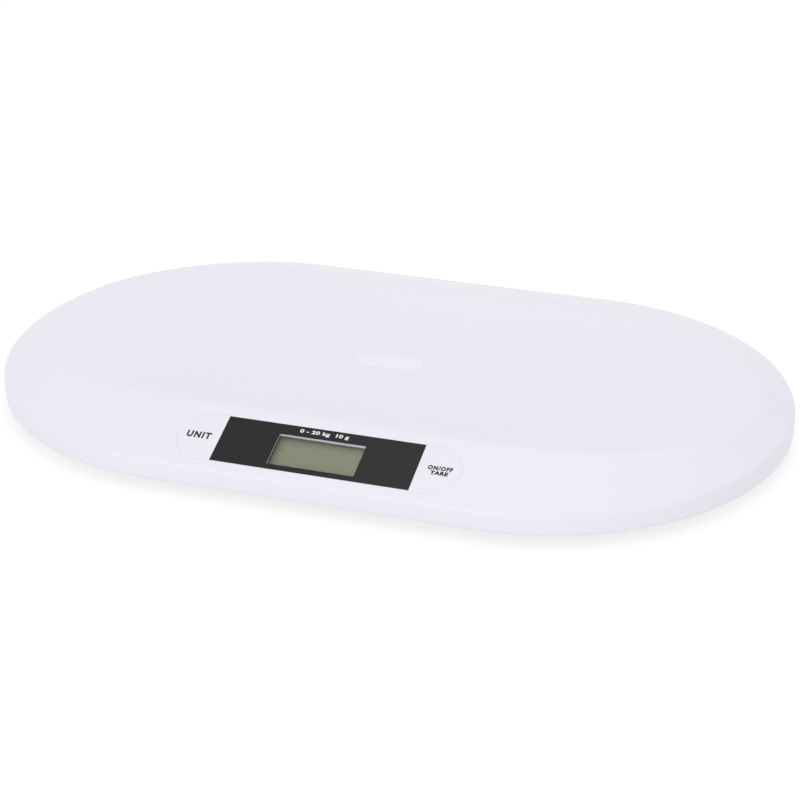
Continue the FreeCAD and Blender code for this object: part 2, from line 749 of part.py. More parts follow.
def cover_rim():
    """A low wall that stiffens the cover's edge."""
    inset = "shell_wall + cover_gap + rim_inset"
    outer = cover_plate("rim_outer", inset, "rim_height", COVER_TOP)
    inner = cover_plate("rim_inner", f"{inset} + rim_thickness", f"rim_height + {SPARE}", COVER_TOP)
    return cut("cover_rim", outer, inner)


def cover_ribs():
    """A lattice behind the battery bay, as wide as the field in the sheet, one rib each pitch."""
    depth = f"({RIB_REAR} - rib_field_front)"
    ribs = []
    columns = int(sheet.get("rib_field_length") / sheet.get("rib_pitch") / 2)
    rear = sheet.get("tray_width") / 2 - sheet.get("rib_rear_inset")
    rows = int((rear - sheet.get("rib_field_front")) / sheet.get("rib_pitch"))
    for n in range(-columns, columns + 1):
        ribs.append(box(f"rib_across_{n + columns}", "rib_thickness", depth, "rib_height", x=f"{n} * rib_pitch",
                        y=f"({RIB_REAR} + rib_field_front) / 2", z=COVER_TOP))
    for n in range(rows + 1):
        ribs.append(box(f"rib_along_{n}", "rib_field_length", "rib_thickness", "rib_height",
                        y=f"rib_field_front + {n} * rib_pitch", z=COVER_TOP))
    return ribs


def well_box(name, corner, extra, low, high):
    x, y = foot_place(corner)
    return box(f"{name}_{corner}", f"well_length + 2 * ({extra})", f"well_width + 2 * ({extra})",
               f"({high}) - ({low})", x, y, low)


def bottom_cover():
    solids = [cover_plate("cover_plate", "shell_wall + cover_gap", "cover_thickness", COVER_BOTTOM), cover_rim()]
    solids += cover_ribs()
    solids += [well_box("well_block", corner, "well_wall", COVER_BOTTOM, f"{WELL_CEILING} + well_wall")
               for corner in CORNERS]
    solids.append(box("bay_flange", f"{DOOR_RECESS_LENGTH} + 2 * flange_wall",
                      f"{DOOR_RECESS_WIDTH} + 2 * flange_wall", "flange_height", y="bay_y", z=COVER_BOTTOM))
    solids.append(box("bay_block", "bay_length + 2 * bay_wall", "bay_width + 2 * bay_wall",
                      f"{BAY_CEILING} + bay_wall - {COVER_BOTTOM}", y="bay_y", z=COVER_BOTTOM))

    spaces = [well_box("well_space", corner, "0", f"{COVER_BOTTOM} - {SPARE}", WELL_CEILING) for corner in CORNERS]
    spaces.append(box("bay_space", "bay_length", "bay_width", f"{BAY_CEILING} - {COVER_BOTTOM} + {SPARE}",
                      y="bay_y", z=f"{COVER_BOTTOM} - {SPARE}"))
    spaces.append(box("door_recess", DOOR_RECESS_LENGTH, DOOR_RECESS_WIDTH, f"door_thickness + {SPARE}",
                      y="bay_y", z=f"{COVER_BOTTOM} - {SPARE}"))
    spaces.append(rod("hinge_pocket", "hinge_radius + door_gap", DOOR_RECESS_LENGTH, f"-{DOOR_RECESS_LENGTH} / 2",
                      HINGE_Y, HINGE_Z))
    spaces.append(rod("hinge_pin_holes", "hinge_pin_radius + door_gap",
                      f"door_length + 2 * (hinge_pin_length + door_gap)",
                      "-door_length / 2 - hinge_pin_length - door_gap", HINGE_Y, HINGE_Z))
    latch_front = f"(bay_y - {DOOR_RECESS_WIDTH} / 2)"
    latch_depth = "(latch_thickness + latch_room)"
    spaces.append(box("latch_pocket", "latch_length + 2 * latch_room", latch_depth,
                      f"flange_height - door_thickness + 2 * {SPARE}", y=f"{latch_front} + {latch_depth} / 2",
                      z=f"{DOOR_TOP} - {SPARE}"))
    for n, (x, y) in enumerate(tower_places()):
        spaces.append(cylinder(f"cover_hole_{n}", "cover_screw_radius + 3 * screw_gap",
                               f"cover_thickness + 2 * {SPARE}", x, y, f"{COVER_BOTTOM} - {SPARE}"))
        spaces.append(cylinder(f"cover_counterbore_{n}", "cover_screw_head_radius + head_gap",
                               f"cover_screw_head_height + screw_gap + {SPARE}", x, y, f"{COVER_BOTTOM} - {SPARE}"))
    for sign in (-1, 1):
        lead_hole = "2 * (lead_radius + lead_hole_gap)"
        through = f"well_wall + 2 * {SPARE}"
        level = f"{COVER_TOP} + lead_height - lead_radius - lead_hole_gap"
        end_wall, side_wall = "(well_length + well_wall) / 2", "(well_width + well_wall) / 2"
        spaces.append(box(side_name("front_lead_hole", sign), through, lead_hole, lead_hole,
                          x=f"{sign} * ({FOOT_X} - {end_wall})", y=f"lead_entry - {FOOT_Y}", z=level))
        spaces.append(box(side_name("rear_lead_hole", sign), lead_hole, through, lead_hole,
                          x=f"{sign} * ({FOOT_X} - lead_entry)", y=f"{FOOT_Y} - {side_wall}", z=level))
    body = cut("cover_body", join("cover_solid", *solids), *spaces)

    seats = []
    for corner in CORNERS:
        x, y = foot_place(corner)
        ring = box(f"cell_seat_block_{corner}", "cell_size", "cell_size", f"{WELL_HEADROOM} + well_wall / 2",
                   x, y, CELL_TOP)
        room = box(f"cell_seat_room_{corner}", "cell_size - 2 * cell_border", "cell_size - 2 * cell_border",
                   WELL_HEADROOM, x, y, CELL_TOP)
        seats.append(cut(f"cell_seat_{corner}", ring, room))
    posts = [cylinder(f"clamp_boss_{n}", "clamp_boss_radius", f"{WELL_CEILING} - cell_bottom + well_wall / 2",
                      x, y, "cell_bottom") for n, (x, y) in enumerate(clamp_screw_places())]
    pilots = [cylinder(f"clamp_pilot_{n}", "clamp_screw_radius + screw_gap",
                       f"clamp_screw_length - clamp_thickness + 2 * {SPARE}", x, y, f"cell_bottom - {SPARE}")
              for n, (x, y) in enumerate(clamp_screw_places())]
    return cut("bottom_cover", join("cover_with_seats", body, *seats, *posts), *pilots)


def battery_door():
    """A door that turns on two pins along its rear edge and snaps shut at its front edge."""
    front = "(bay_y - door_width / 2)"
    plate = box("door_plate", "door_length", "door_width - hinge_radius", "door_thickness",
                y="bay_y - hinge_radius / 2", z=COVER_BOTTOM)
    knuckle = rod("door_knuckle", "hinge_radius", "door_length", "-door_length / 2", HINGE_Y, HINGE_Z)
    pins = rod("door_pins", "hinge_pin_radius", "door_length + 2 * hinge_pin_length",
               "-door_length / 2 - hinge_pin_length", HINGE_Y, HINGE_Z)
    tongue = box("latch_tongue", "latch_length", "latch_thickness", "latch_height",
                 y=f"{front} + latch_thickness / 2", z=DOOR_TOP)
    hook = box("latch_hook", "latch_length", "latch_hook + door_gap", "latch_thickness / 2",
               y=f"{front} - (latch_hook + door_gap) / 2", z=f"{FLANGE_TOP} + door_gap")
    grips = [
        box(f"grip_{n}", "latch_length", "grip_width", f"grip_depth + {SPARE}",
            y=f"{front} + {n + 1} * grip_pitch", z=f"{COVER_BOTTOM} - {SPARE}")
        for n in range(DOOR_GRIPS)
    ]
    return cut("battery_door", join("door_solid", plate, knuckle, pins, tongue, hook), *grips)


def cell_rows():
    """The three battery rows: which way each positive end points, and how far each lies across."""
    return [(row, 1 if row % 2 else -1, f"bay_y + {row} * battery_pitch") for row in (-1, 0, 1)]


def batteries():
    """Three round cells side by side, every other one turned round."""
    cells = []
    reach = "(bay_length / 2 - contact_thickness)"
    can = "(battery_length - nub_length)"
    for row, sign, y in cell_rows():
        can_start = f"{reach} - battery_length" if sign > 0 else f"-{reach} + nub_length"
        nub_start = f"{reach} - nub_length" if sign > 0 else f"-{reach}"
        body = rod(f"can_{row + 1}", "battery_radius", can, can_start, y, BATTERY_Z)
        nub = rod(f"nub_{row + 1}", "nub_radius", "nub_length", nub_start, y, BATTERY_Z)
        cells.append(join(f"battery_{row + 1}", body, nub))
    return group("batteries", cells)


def plate_contact(row, sign, y, height):
    """A flat contact against an end wall of the bay."""
    x = f"{sign} * (bay_length / 2 - contact_thickness / 2)"
    return box(f"contact_plate_{row + 1}_{'plus' if sign > 0 else 'minus'}", "contact_thickness", height, height,
               x=x, y=y, z=f"{BATTERY_Z} - {height} / 2")


def plate_contacts():
    return group("plate_contacts", [plate_contact(row, sign, y, "contact_size") for row, sign, y in cell_rows()])


def spring_contacts():
    """A coil spring on a plate at the flat end of each cell; the coils are read from the sheet."""
    wire = sheet.get("spring_wire_radius")
    turns = sheet.get("spring_turns")
    reach = sheet.get("bay_length") / 2 - sheet.get("contact_thickness")
    gap = 2 * reach - sheet.get("battery_length")
    radius = sheet.get("spring_radius")
    pitch = (gap - 2 * wire) / turns
    door_top = sheet.get("skirt_bottom") + sheet.get("cover_recess") + sheet.get("door_thickness")
    axis_z = door_top + sheet.get("battery_gap") + sheet.get("battery_radius")
    pieces = []
    for row, sign, y in cell_rows():
        plate = plate_contact(row, -sign, y, "contact_size")
        helix = Part.Wire(Part.makeHelix(pitch, pitch * turns, radius))
        section = Part.Wire(Part.Circle(Vector(radius, 0, 0), Vector(0, 1, 0), wire).toShape())
        coil = doc.addObject("Part::Feature", f"coil_{row + 1}")
        coil.Shape = helix.makePipeShell([section], True, True)
        centre_y = sheet.get("bay_y") + row * sheet.get("battery_pitch")
        turn = Rotation(Vector(0, 1, 0), 90 * sign)
        coil.Placement = Placement(Vector(-sign * (reach - wire / 2), centre_y, axis_z), turn)
        pieces.append(join(f"spring_contact_{row + 1}", plate, coil))
    return group("spring_contacts", pieces)


# ---------------------------------------------------------------- internal leads
def shelf_point(x, u, v):
    """A point of the keypad's frame, in the tray's frame."""
    tilt = math.radians(sheet.get("shelf_tilt"))
    rise = sheet.get("keypad_rise")
    y = -sheet.get("tray_width") / 2 + (rise + u) * math.cos(tilt) - v * math.sin(tilt)
    z = sheet.get("shelf_start") + (rise + u) * math.sin(tilt) + v * math.cos(tilt)
    return Vector(x, y, z)


def lead(name, points):
    """A round lead along straight runs joined by tangent arcs, each as wide as its two runs allow."""
    radius = sheet.get("lead_radius")
    edges = []
    start = points[0]
    for before, corner, after in zip(points, points[1:], points[2:]):
        inward, outward = corner - before, after - corner
        half_turn = inward.getAngle(outward) / 2
        trim = sheet.get("bend_share") * min(inward.Length, outward.Length)
        entry = corner - Vector(inward).normalize() * trim
        leave = corner + Vector(outward).normalize() * trim
        bend = trim / math.tan(half_turn)
        middle = (entry + leave) * 0.5
        inner = corner + (middle - corner).normalize() * (math.hypot(bend, trim) - bend)
        edges.append(Part.LineSegment(start, entry).toShape())
        edges.append(Part.Arc(entry, inner, leave).toShape())
        start = leave
    edges.append(Part.LineSegment(start, points[-1]).toShape())
    path = Part.Wire(edges)
    section = Part.Wire(Part.Circle(points[0], points[1] - points[0], radius).toShape())
    tube = doc.addObject("Part::Feature", name)
    tube.Shape = path.makePipeShell([section], True, True)
    expected = math.pi * radius ** 2 * path.Length
    if abs(tube.Shape.Volume / expected - 1) > 0.02:
        raise ValueError(f"{name}: the swept volume isn't its section times its length")
    return tube


def lead_start(x):
    """The first two points of a lead: at its socket's mouth and straight below it, on the cover."""
    underside = sheet.get("board_depth") + sheet.get("board_thickness") + sheet.get("socket_height")
    mouth = shelf_point(x, sheet.get("socket_u"), -underside)
    out = mouth - shelf_point(x, sheet.get("socket_u"), 0)
    floor = lead_level()
    return mouth, mouth + out * ((floor - mouth.z) / out.z)


def lead_level():
    return (sheet.get("skirt_bottom") + sheet.get("cover_recess") + sheet.get("cover_thickness")
            + sheet.get("lead_height"))


def load_cell_leads():
    """One lead from each load cell to the board, laid on the cover clear of its ribs and of the battery bay."""
    foot_x = sheet.get("tray_length") / 2 - sheet.get("foot_from_end")
    foot_y = sheet.get("tray_width") / 2 - sheet.get("foot_from_side")
    entry, run = sheet.get("lead_entry"), sheet.get("lead_straight")
    near_cell = sheet.get("cell_size") / 2 + sheet.get("clamp_gap")
    leads = []
    for sign in (-1, 1):
        front_socket = sign * (sheet.get("cell_socket_x") + sheet.get("lead_side"))
        rear_socket = sign * (sheet.get("cell_socket_x") - sheet.get("lead_side"))
        front_end = Vector(sign * (foot_x - near_cell), entry - foot_y, lead_level())
        rear_end = Vector(sign * (foot_x - entry), foot_y - near_cell, lead_level())
        bends = [Vector(sign * x, y, lead_level()) for x, y in FRONT_LEAD_BENDS]
        path = [*lead_start(front_socket), *bends, front_end - Vector(sign * run, 0, 0), front_end]
        leads.append(lead(side_name("front_lead", sign), path))
        bends = [Vector(sign * x, y, lead_level()) for x, y in REAR_LEAD_BENDS]
        path = [*lead_start(rear_socket), *bends, rear_end - Vector(0, run, 0), rear_end]
        leads.append(lead(side_name("rear_lead", sign), path))
    return group("load_cell_leads", leads)


def battery_leads():
    """Two leads from the board to the battery bay's wall, above the flange round the bay."""
    wall = sheet.get("bay_y") - sheet.get("bay_width") / 2 - sheet.get("bay_wall")
    flange_top = sheet.get("skirt_bottom") + sheet.get("cover_recess") + sheet.get("flange_height")
    level = flange_top + sheet.get("lead_radius") + sheet.get("lead_hole_gap")
    leads = []
    for sign in (-1, 1):
        x = sheet.get("power_socket_x") + sign * sheet.get("lead_side")
        mouth, floor = lead_start(x)
        bend = Vector(x, (floor.y + wall) / 2, level)
        leads.append(lead(side_name("battery_lead", sign), [mouth, floor, bend, Vector(x, wall, level)]))
    return group("battery_leads", leads)


# ---------------------------------------------------------------- the whole scale
def build():
    """Makes every piece and returns the nodes by name."""
    nodes = [
        top_shell(), badge(), display_window(), key("unit_button", -1), key("power_button", 1),
        display_glass(), display_frame(), contact_strips(), main_board(), tact_switches(),
        switch_plunger("unit_switch_plunger", -1), switch_plunger("power_switch_plunger", 1),
        board_underside_box("controller_chip", "chip_size", "chip_size", "chip_height", "chip_x", "-view_drop"),
        lead_sockets(), bottom_cover(), battery_door(), batteries(), plate_contacts(), spring_contacts(),
        load_cell_leads(), battery_leads(),
        screws("board_screws", board_screw_places(), "board_screw_radius", "board_screw_length",
               "small_head_radius", "small_head_height", "-board_depth - board_thickness", on_shelf=True),
        screws("cover_screws", tower_places(), "cover_screw_radius", "cover_screw_length",
               "cover_screw_head_radius", "cover_screw_head_height",
               f"({COVER_BOTTOM} + cover_screw_head_height + screw_gap)"),
        screws("clamp_screws", clamp_screw_places(), "clamp_screw_radius", "clamp_screw_length",
               "small_head_radius", "small_head_height", CLAMP_BOTTOM),
    ]
    for corner in CORNERS:
        nodes += [load_cell(corner), load_cell_clamp(corner), foot_cup(corner), foot_pad(corner)]
    for node in nodes:
        node.Label = node.Name
    return {node.Label: node for node in nodes}


def check(nodes):
    """Stops if any feature of the document failed or a node's shape is bad."""
    failed = [thing.Name for thing in doc.Objects if {"Invalid", "Error"} & set(thing.State)]
    if failed:
        raise RuntimeError(f"features that failed: {failed}")
    for name, node in nodes.items():
        if node.Shape.isNull() or not node.Shape.isValid() or not node.Shape.Solids:
            raise RuntimeError(f"{name} has no sound solid")


def export(nodes):
    os.makedirs("parts", exist_ok=True)
    for name, node in nodes.items():
        node.Shape.exportStep(f"parts/{name}.step")
        box_of_node = node.Shape.BoundBox
        print(f"{name}: {len(node.Shape.Solids)} solid(s), {node.Shape.Volume:.0f} mm3, "
              f"z {box_of_node.ZMin:.2f} to {box_of_node.ZMax:.2f}")


pieces = build()
doc.recompute()
check(pieces)
export(pieces)
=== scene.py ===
# %% [markdown]
# A baby weighing scale, dressed in Blender round its engineering model.
# The engineering model gives exact places and moving bodies. All of it could be built again here by hand,
# but then shapes and motion would soon disagree. So it is loaded as it is, and the cells below only give
# the surfaces that are seen their soft edges, real finishes and printing. Lengths are in millimetres
# until they go into a mesh, which is in metres.

# %% Load the engineering model
import math

import bpy
import numpy as np
from mathutils import Matrix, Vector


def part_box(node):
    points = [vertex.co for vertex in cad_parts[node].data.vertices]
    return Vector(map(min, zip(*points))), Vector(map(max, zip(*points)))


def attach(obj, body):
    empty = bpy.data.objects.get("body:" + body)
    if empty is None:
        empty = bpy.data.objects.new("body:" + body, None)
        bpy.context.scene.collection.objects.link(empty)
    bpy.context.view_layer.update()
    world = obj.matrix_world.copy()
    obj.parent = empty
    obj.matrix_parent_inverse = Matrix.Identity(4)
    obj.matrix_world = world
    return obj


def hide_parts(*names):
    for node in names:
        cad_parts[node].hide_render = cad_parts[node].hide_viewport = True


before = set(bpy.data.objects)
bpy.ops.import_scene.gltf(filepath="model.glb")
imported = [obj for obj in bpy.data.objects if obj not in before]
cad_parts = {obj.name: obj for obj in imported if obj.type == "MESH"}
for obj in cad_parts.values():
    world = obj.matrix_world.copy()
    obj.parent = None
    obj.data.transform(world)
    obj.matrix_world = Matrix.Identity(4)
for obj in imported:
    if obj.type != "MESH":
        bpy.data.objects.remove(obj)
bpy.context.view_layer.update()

scene = bpy.context.scene
MM = 0.001

# %% [markdown]
# A white object in a studio stands in even light from all sides. A ring of many lamps could give it, but
# one plain world colour does the same with no edges in the reflections. A camera ray, and one that comes
# through glass or off something shiny, sees this sky as plain white. Only the light that falls on matt
# surfaces is turned down, to keep pale plastic from burning out.

# %% Sky
SKY_LIGHT, WHITE = 0.838, 1.0


def add_node(tree, kind, **values):
    """A new shader node, with values for its inputs. An underscore stands for a space in an input's name."""
    node = tree.nodes.new("ShaderNode" + kind)
    for socket, value in values.items():
        node.inputs[socket.replace("_", " ")].default_value = value
    return node


def seen_or_mirrored(tree):
    """1 for a ray from the camera, through glass or off a shiny surface, and 0 for any other ray. It is
    the largest of the three marks that the light path gives."""
    rays = add_node(tree, "LightPath")
    level = rays.outputs["Is Camera Ray"]
    for kind in ("Is Transmission Ray", "Is Glossy Ray"):
        larger = add_node(tree, "Math")
        larger.operation = "MAXIMUM"
        tree.links.new(level, larger.inputs[0])
        tree.links.new(rays.outputs[kind], larger.inputs[1])
        level = larger.outputs[0]
    return level


def between(tree, level, low, high, socket):
    """Sends low to the socket where the level is 0, high where it is 1, and an even change between."""
    spread = add_node(tree, "MapRange", To_Min=low, To_Max=high)
    tree.links.new(level, spread.inputs["Value"])
    tree.links.new(spread.outputs["Result"], socket)


scene.view_settings.view_transform = "Standard"
world = bpy.data.worlds.new("studio_sky")
scene.world = world
world.use_nodes = True
sky = world.node_tree
sky.nodes["Background"].inputs["Color"].default_value = (1.0, 1.0, 1.0, 1.0)
between(sky, seen_or_mirrored(sky), SKY_LIGHT, WHITE, sky.nodes["Background"].inputs["Strength"])
print("sky light", SKY_LIGHT)

# %% [markdown]
# Two weak softboxes do the rest. One stands in front near the table, and makes the near slope and its
# edge a hair lighter than the bowl. One hangs overhead and fills the bowl. Sun or spot lamps would draw
# hard shadows, so both are wide square area lamps.

# %% Softboxes
BOX_SIZE = 1.4


def stand_up(thing, place, back, roll=0.0):
    """Stands a lamp or camera at a place in metres, with its back along a line. Its right is level and at
    right angles to that line, its up is at right angles to both, and the roll turns the two about it."""
    back = np.divide(back, np.linalg.norm(back))
    level_right = np.cross((0.0, 0.0, 1.0), back)
    level_right /= np.linalg.norm(level_right)
    level_up = np.cross(back, level_right)
    right = level_right * math.cos(roll) + level_up * math.sin(roll)
    up = level_up * math.cos(roll) - level_right * math.sin(roll)
    turn = np.eye(4)
    turn[:3] = np.stack([right, up, back, place], -1)
    thing.matrix_world = Matrix(turn.tolist())
    scene.collection.objects.link(thing)


def softbox(name, place, watts):
    """A square area lamp that faces the middle of the table."""
    lamp = bpy.data.lights.new(name, "AREA")
    lamp.shape, lamp.size, lamp.energy = "SQUARE", BOX_SIZE, watts
    stand_up(bpy.data.objects.new(name, lamp), place, place)


softbox("front_softbox", (0.0, -1.9, 0.5), watts=6.9)
softbox("overhead_softbox", (0.05, 0.5, 1.9), watts=3.8)
print("softboxes", BOX_SIZE, "m wide")

# %% [markdown]
# The camera stands in front and to the right, looking down at the tray. A Track To constraint could aim
# it, but a constraint can't hold a roll as well. So its place comes from an azimuth, an elevation and a
# distance round a target, and a slight roll turns it about its own line of sight.

# %% Camera
TARGET = np.array((0.018235, -0.033042, 0.020))
AZIMUTH, ELEVATION, ROLL = np.radians((19.441, 26.536, -0.953))
DISTANCE = 1.430689
SENSOR_WIDTH, LENS = 36.0, 96.08
to_camera = np.array((
    math.sin(AZIMUTH) * math.cos(ELEVATION), -math.cos(AZIMUTH) * math.cos(ELEVATION), math.sin(ELEVATION),
))
camera_data = bpy.data.cameras.new("camera")
camera_data.sensor_width, camera_data.lens = SENSOR_WIDTH, LENS
camera = bpy.data.objects.new("camera", camera_data)
stand_up(camera, TARGET + to_camera * DISTANCE, to_camera, ROLL)
scene.camera = camera
print("camera", DISTANCE, "m from its target")

# %% [markdown]
# The floor is a plain pale sheet that melts into the background. A shadow catcher would need a second
# layer to put it on. Here the sheet glows a little for a camera ray, on top of its lit colour, so the lit
# part is white and only the soft shadow under the tray is left to see.

# %% Floor
FLOOR_HALF = 8.0
PAINT_FOR_LIGHT, PAINT_SEEN, GLOW_SEEN = 0.93, 0.32, 0.74
corners = [(x * FLOOR_HALF, y * FLOOR_HALF, 0) for x, y in ((-1, -1), (1, -1), (1, 1), (-1, 1))]
floor_sheet = bpy.data.meshes.new("floor")
floor_sheet.from_pydata(corners, [], [(0, 1, 2, 3)])
floor = bpy.data.objects.new("floor", floor_sheet)
scene.collection.objects.link(floor)
floor_paint = bpy.data.materials.new("floor_paint")
floor_paint.use_nodes = True
floor_tree = floor_paint.node_tree
floor_tree.nodes.clear()
matt, glow = add_node(floor_tree, "BsdfDiffuse"), add_node(floor_tree, "Emission")
both, floor_out = add_node(floor_tree, "AddShader"), add_node(floor_tree, "OutputMaterial")
floor_seen = seen_or_mirrored(floor_tree)
between(floor_tree, floor_seen, PAINT_FOR_LIGHT, PAINT_SEEN, matt.inputs["Color"])
between(floor_tree, floor_seen, 0.0, GLOW_SEEN, glow.inputs["Strength"])
floor_tree.links.new(matt.outputs[0], both.inputs[0])
floor_tree.links.new(glow.outputs[0], both.inputs[1])
floor_tree.links.new(both.outputs[0], floor_out.inputs["Surface"])
floor_sheet.materials.append(floor_paint)
print("floor", 2 * FLOOR_HALF, "m wide")

# %% [markdown]
# A piece is put together from rows of points. Two neighbouring rows of the same length make a strip of
# four-sided faces, and a ring and one point make a fan. Blender's own bridge and fill tools could join
# the rows, but they guess which points belong together. Here the order decides: rows run anticlockwise
# as seen from outside, so all faces point outwards and a closed chain of rows is a closed skin.


# %% Rows of points into faces
class Form:
    """The points, in millimetres, and the faces of one piece."""

    def __init__(self):
        self.points, self.faces, self.total = [], [], 0

    def add(self, points):
        """Keeps points and gives back their numbers, in the same rows."""
        points = np.asarray(points, float)
        numbers = np.arange(self.total, self.total + points[..., 0].size).reshape(points.shape[:-1])
        self.points.append(points.reshape(-1, 3))
        self.total += numbers.size
        return numbers

    def strip(self, first, second, closed=True):
        """Faces between two rows: each joins two neighbours of one row to the same two of the next."""
        if closed:
            first, second = np.append(first, first[0]), np.append(second, second[0])
        self.faces += np.stack([first[:-1], first[1:], second[1:], second[:-1]], -1).tolist()

    def fan(self, ring, tip):
        """Triangles from each side of a ring to one point."""
        following = np.roll(ring, -1)
        self.faces += np.stack([ring, following, np.full_like(ring, tip)], -1).tolist()

    def skin(self, rings, loop=False):
        """A chain of rings, closed at both ends by fans, or with loop joined end to end."""
        rings = np.asarray(rings, float)
        numbers = self.add(rings)
        for first, second in zip(numbers[:-1], numbers[1:]):
            self.strip(first, second)
        if loop:
            self.strip(numbers[-1], numbers[0])
        else:
            first_tip, last_tip = self.add(np.stack([rings[0].mean(0), rings[-1].mean(0)]))
            self.fan(numbers[0][::-1], first_tip)
            self.fan(numbers[-1], last_tip)


print("a piece is made of strips and fans")

# %% [markdown]
# Every finished form becomes one object. Its points go from millimetres to metres, its surface is shaded
# smooth except over real edges, and it is tied to the body that it moves with. The parts of the
# engineering model that it stands for are hidden. A Bevel modifier could soften the edges afterwards, but
# here each rounding is already in the rows, where it has the radius that it should have.


# %% Form into a piece
def put(name, form, body, material, stands_for=(), crease=40.0):
    """Makes a piece from a form, with smooth shading except over edges sharper than the crease."""
    points = np.concatenate(form.points) * MM
    mesh = bpy.data.meshes.new(name)
    mesh.from_pydata(points.tolist(), [], form.faces)
    mesh.validate()
    mesh.shade_smooth()
    mesh.set_sharp_from_angle(angle=math.radians(crease))
    piece = bpy.data.objects.new(name, mesh)
    scene.collection.objects.link(piece)
    mesh.materials.append(material)
    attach(piece, body)
    if stands_for:
        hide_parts(*stands_for)
    size = (points.max(0) - points.min(0)) / MM
    print(name, len(points), "points", "x".join(f"{side:.1f}" for side in size), "mm")


# %% [markdown]
# Moulded plastic is never one flat colour. A broad cloud shifts its colour by a hair, a fine grain from
# the mould bends the light, and the same grain makes some spots a little shinier than others. A picture
# of plastic could be wrapped round each piece, but noise needs no unwrapping and stays sharp close up.
# All three read the object's own coordinates, so they stay put on the piece.


# %% Moulded plastic and other solid finishes
def srgb(red, green, blue):
    """A colour as seen on a screen, 0 to 255, turned into the light values that a shader takes: a power
    of 2.4, with a short straight start."""
    shares = np.array((red, green, blue)) / 255.0
    light = np.where(shares <= 0.04045, shares / 12.92, ((shares + 0.055) / 1.055) ** 2.4)
    return (*light.tolist(), 1.0)


ROUGH_CHANGE, PALEST = 0.05, 0.97


def finish(name, colour, rough, metal=0.0, grain=0.4, depth=0.004, cloud=60.0, shift=0.03, sheen=0.0,
           gloss=0.5):
    """A broad cloud changes the colour by plus or minus a share, the shift. Fine grain lifts the surface by
    its height times the depth, and changes the roughness by ROUGH_CHANGE either way. Sizes are in mm. A
    gloss of 0.5 is that of most plastics."""
    material = bpy.data.materials.new(name)
    material.use_nodes = True
    tree, links = material.node_tree, material.node_tree.links
    shader = tree.nodes["Principled BSDF"]
    shader.inputs["Metallic"].default_value, shader.inputs["Sheen Weight"].default_value = metal, sheen
    shader.inputs["Specular IOR Level"].default_value = gloss
    place = add_node(tree, "TexCoord")
    broad = add_node(tree, "TexNoise", Scale=1.0 / (cloud * MM), Detail=3.0)
    fine = add_node(tree, "TexNoise", Scale=1.0 / (grain * MM), Detail=2.0)
    tone = add_node(tree, "Mix")
    tone.data_type = "RGBA"
    light = np.array(colour[:3])
    tone.inputs["A"].default_value = (*(light * (1.0 - shift)).tolist(), 1.0)
    tone.inputs["B"].default_value = (*np.minimum(light * (1.0 + shift), PALEST).tolist(), 1.0)
    bump = add_node(tree, "Bump", Strength=1.0, Distance=depth * MM)
    for noise in (broad, fine):
        links.new(place.outputs["Object"], noise.inputs["Vector"])
    links.new(broad.outputs["Fac"], tone.inputs["Factor"])
    links.new(tone.outputs["Result"], shader.inputs["Base Color"])
    between(tree, fine.outputs["Fac"], rough - ROUGH_CHANGE, rough + ROUGH_CHANGE, shader.inputs["Roughness"])
    links.new(fine.outputs["Fac"], bump.inputs["Height"])
    links.new(bump.outputs["Normal"], shader.inputs["Normal"])
    return material


TRAY_WHITE = srgb(236, 234, 244)
tray_plastic = finish("tray_plastic", TRAY_WHITE, 0.38, grain=0.5, depth=0.0015, cloud=90.0, shift=0.012)
print("tray plastic", [round(v, 3) for v in TRAY_WHITE])

# %% [markdown]
# The tray is one thin moulding. Its outline is two straight sides joined by half circles, and inside it
# come an upright skirt, a sloping flank, a soft ridge and a shallow bowl. A coarse cage with Subdivision
# Surface would give soft forms, but it would miss the exact outline and the sharp keypad. So the skin is
# worked out from formulas. All its rings share one set of columns: a column is a place round the
# outline, a ring is an oval of any size, and neighbouring rings always fit each other.

# %% Columns round the tray
STRAIGHT, OUTER = 110.0, 165.0
FRONT_STEPS, END_STEPS, REAR_STEPS = 100, 96, 44
front_run = np.linspace(-1.0, 1.0, FRONT_STEPS, endpoint=False)
rear_run = np.linspace(1.0, -1.0, REAR_STEPS, endpoint=False)
turn_run = np.linspace(-np.pi / 2, np.pi / 2, END_STEPS, endpoint=False)
ones = np.ones(END_STEPS)
ALONG = np.concatenate([front_run, ones, rear_run, -ones])
ROUND_X = np.concatenate([0 * front_run, np.cos(turn_run), 0 * rear_run, -np.cos(turn_run)])
ROUND_Y = np.concatenate([0 * front_run - 1, np.sin(turn_run), 0 * rear_run + 1, -np.sin(turn_run)])


def oval(straight, end, half, centre=0.0):
    """x and y of every column: straight sides of half length, half ellipses end by half, moved by centre."""
    return np.stack([straight * ALONG + end * ROUND_X, centre + half * ROUND_Y], -1)


def ring(outline, height):
    """An outline with a height, one for all of it or one for each column."""
    return np.concatenate([outline, np.broadcast_to(height, outline.shape[:-1])[..., None]], -1)


print("columns", len(ALONG))

# %% [markdown]
# Two surfaces make the top. The flank rises evenly from the outline to an oval 41 mm above the table,
# and the bowl is a stack of ovals whose heights follow a parabola that eases off at its mouth. The ridge
# is where they meet. It could be drawn as a curve of its own, but as the lower of two surfaces it dips
# at the two ends by itself, as the real one does. A soft minimum of the two heights rounds it.

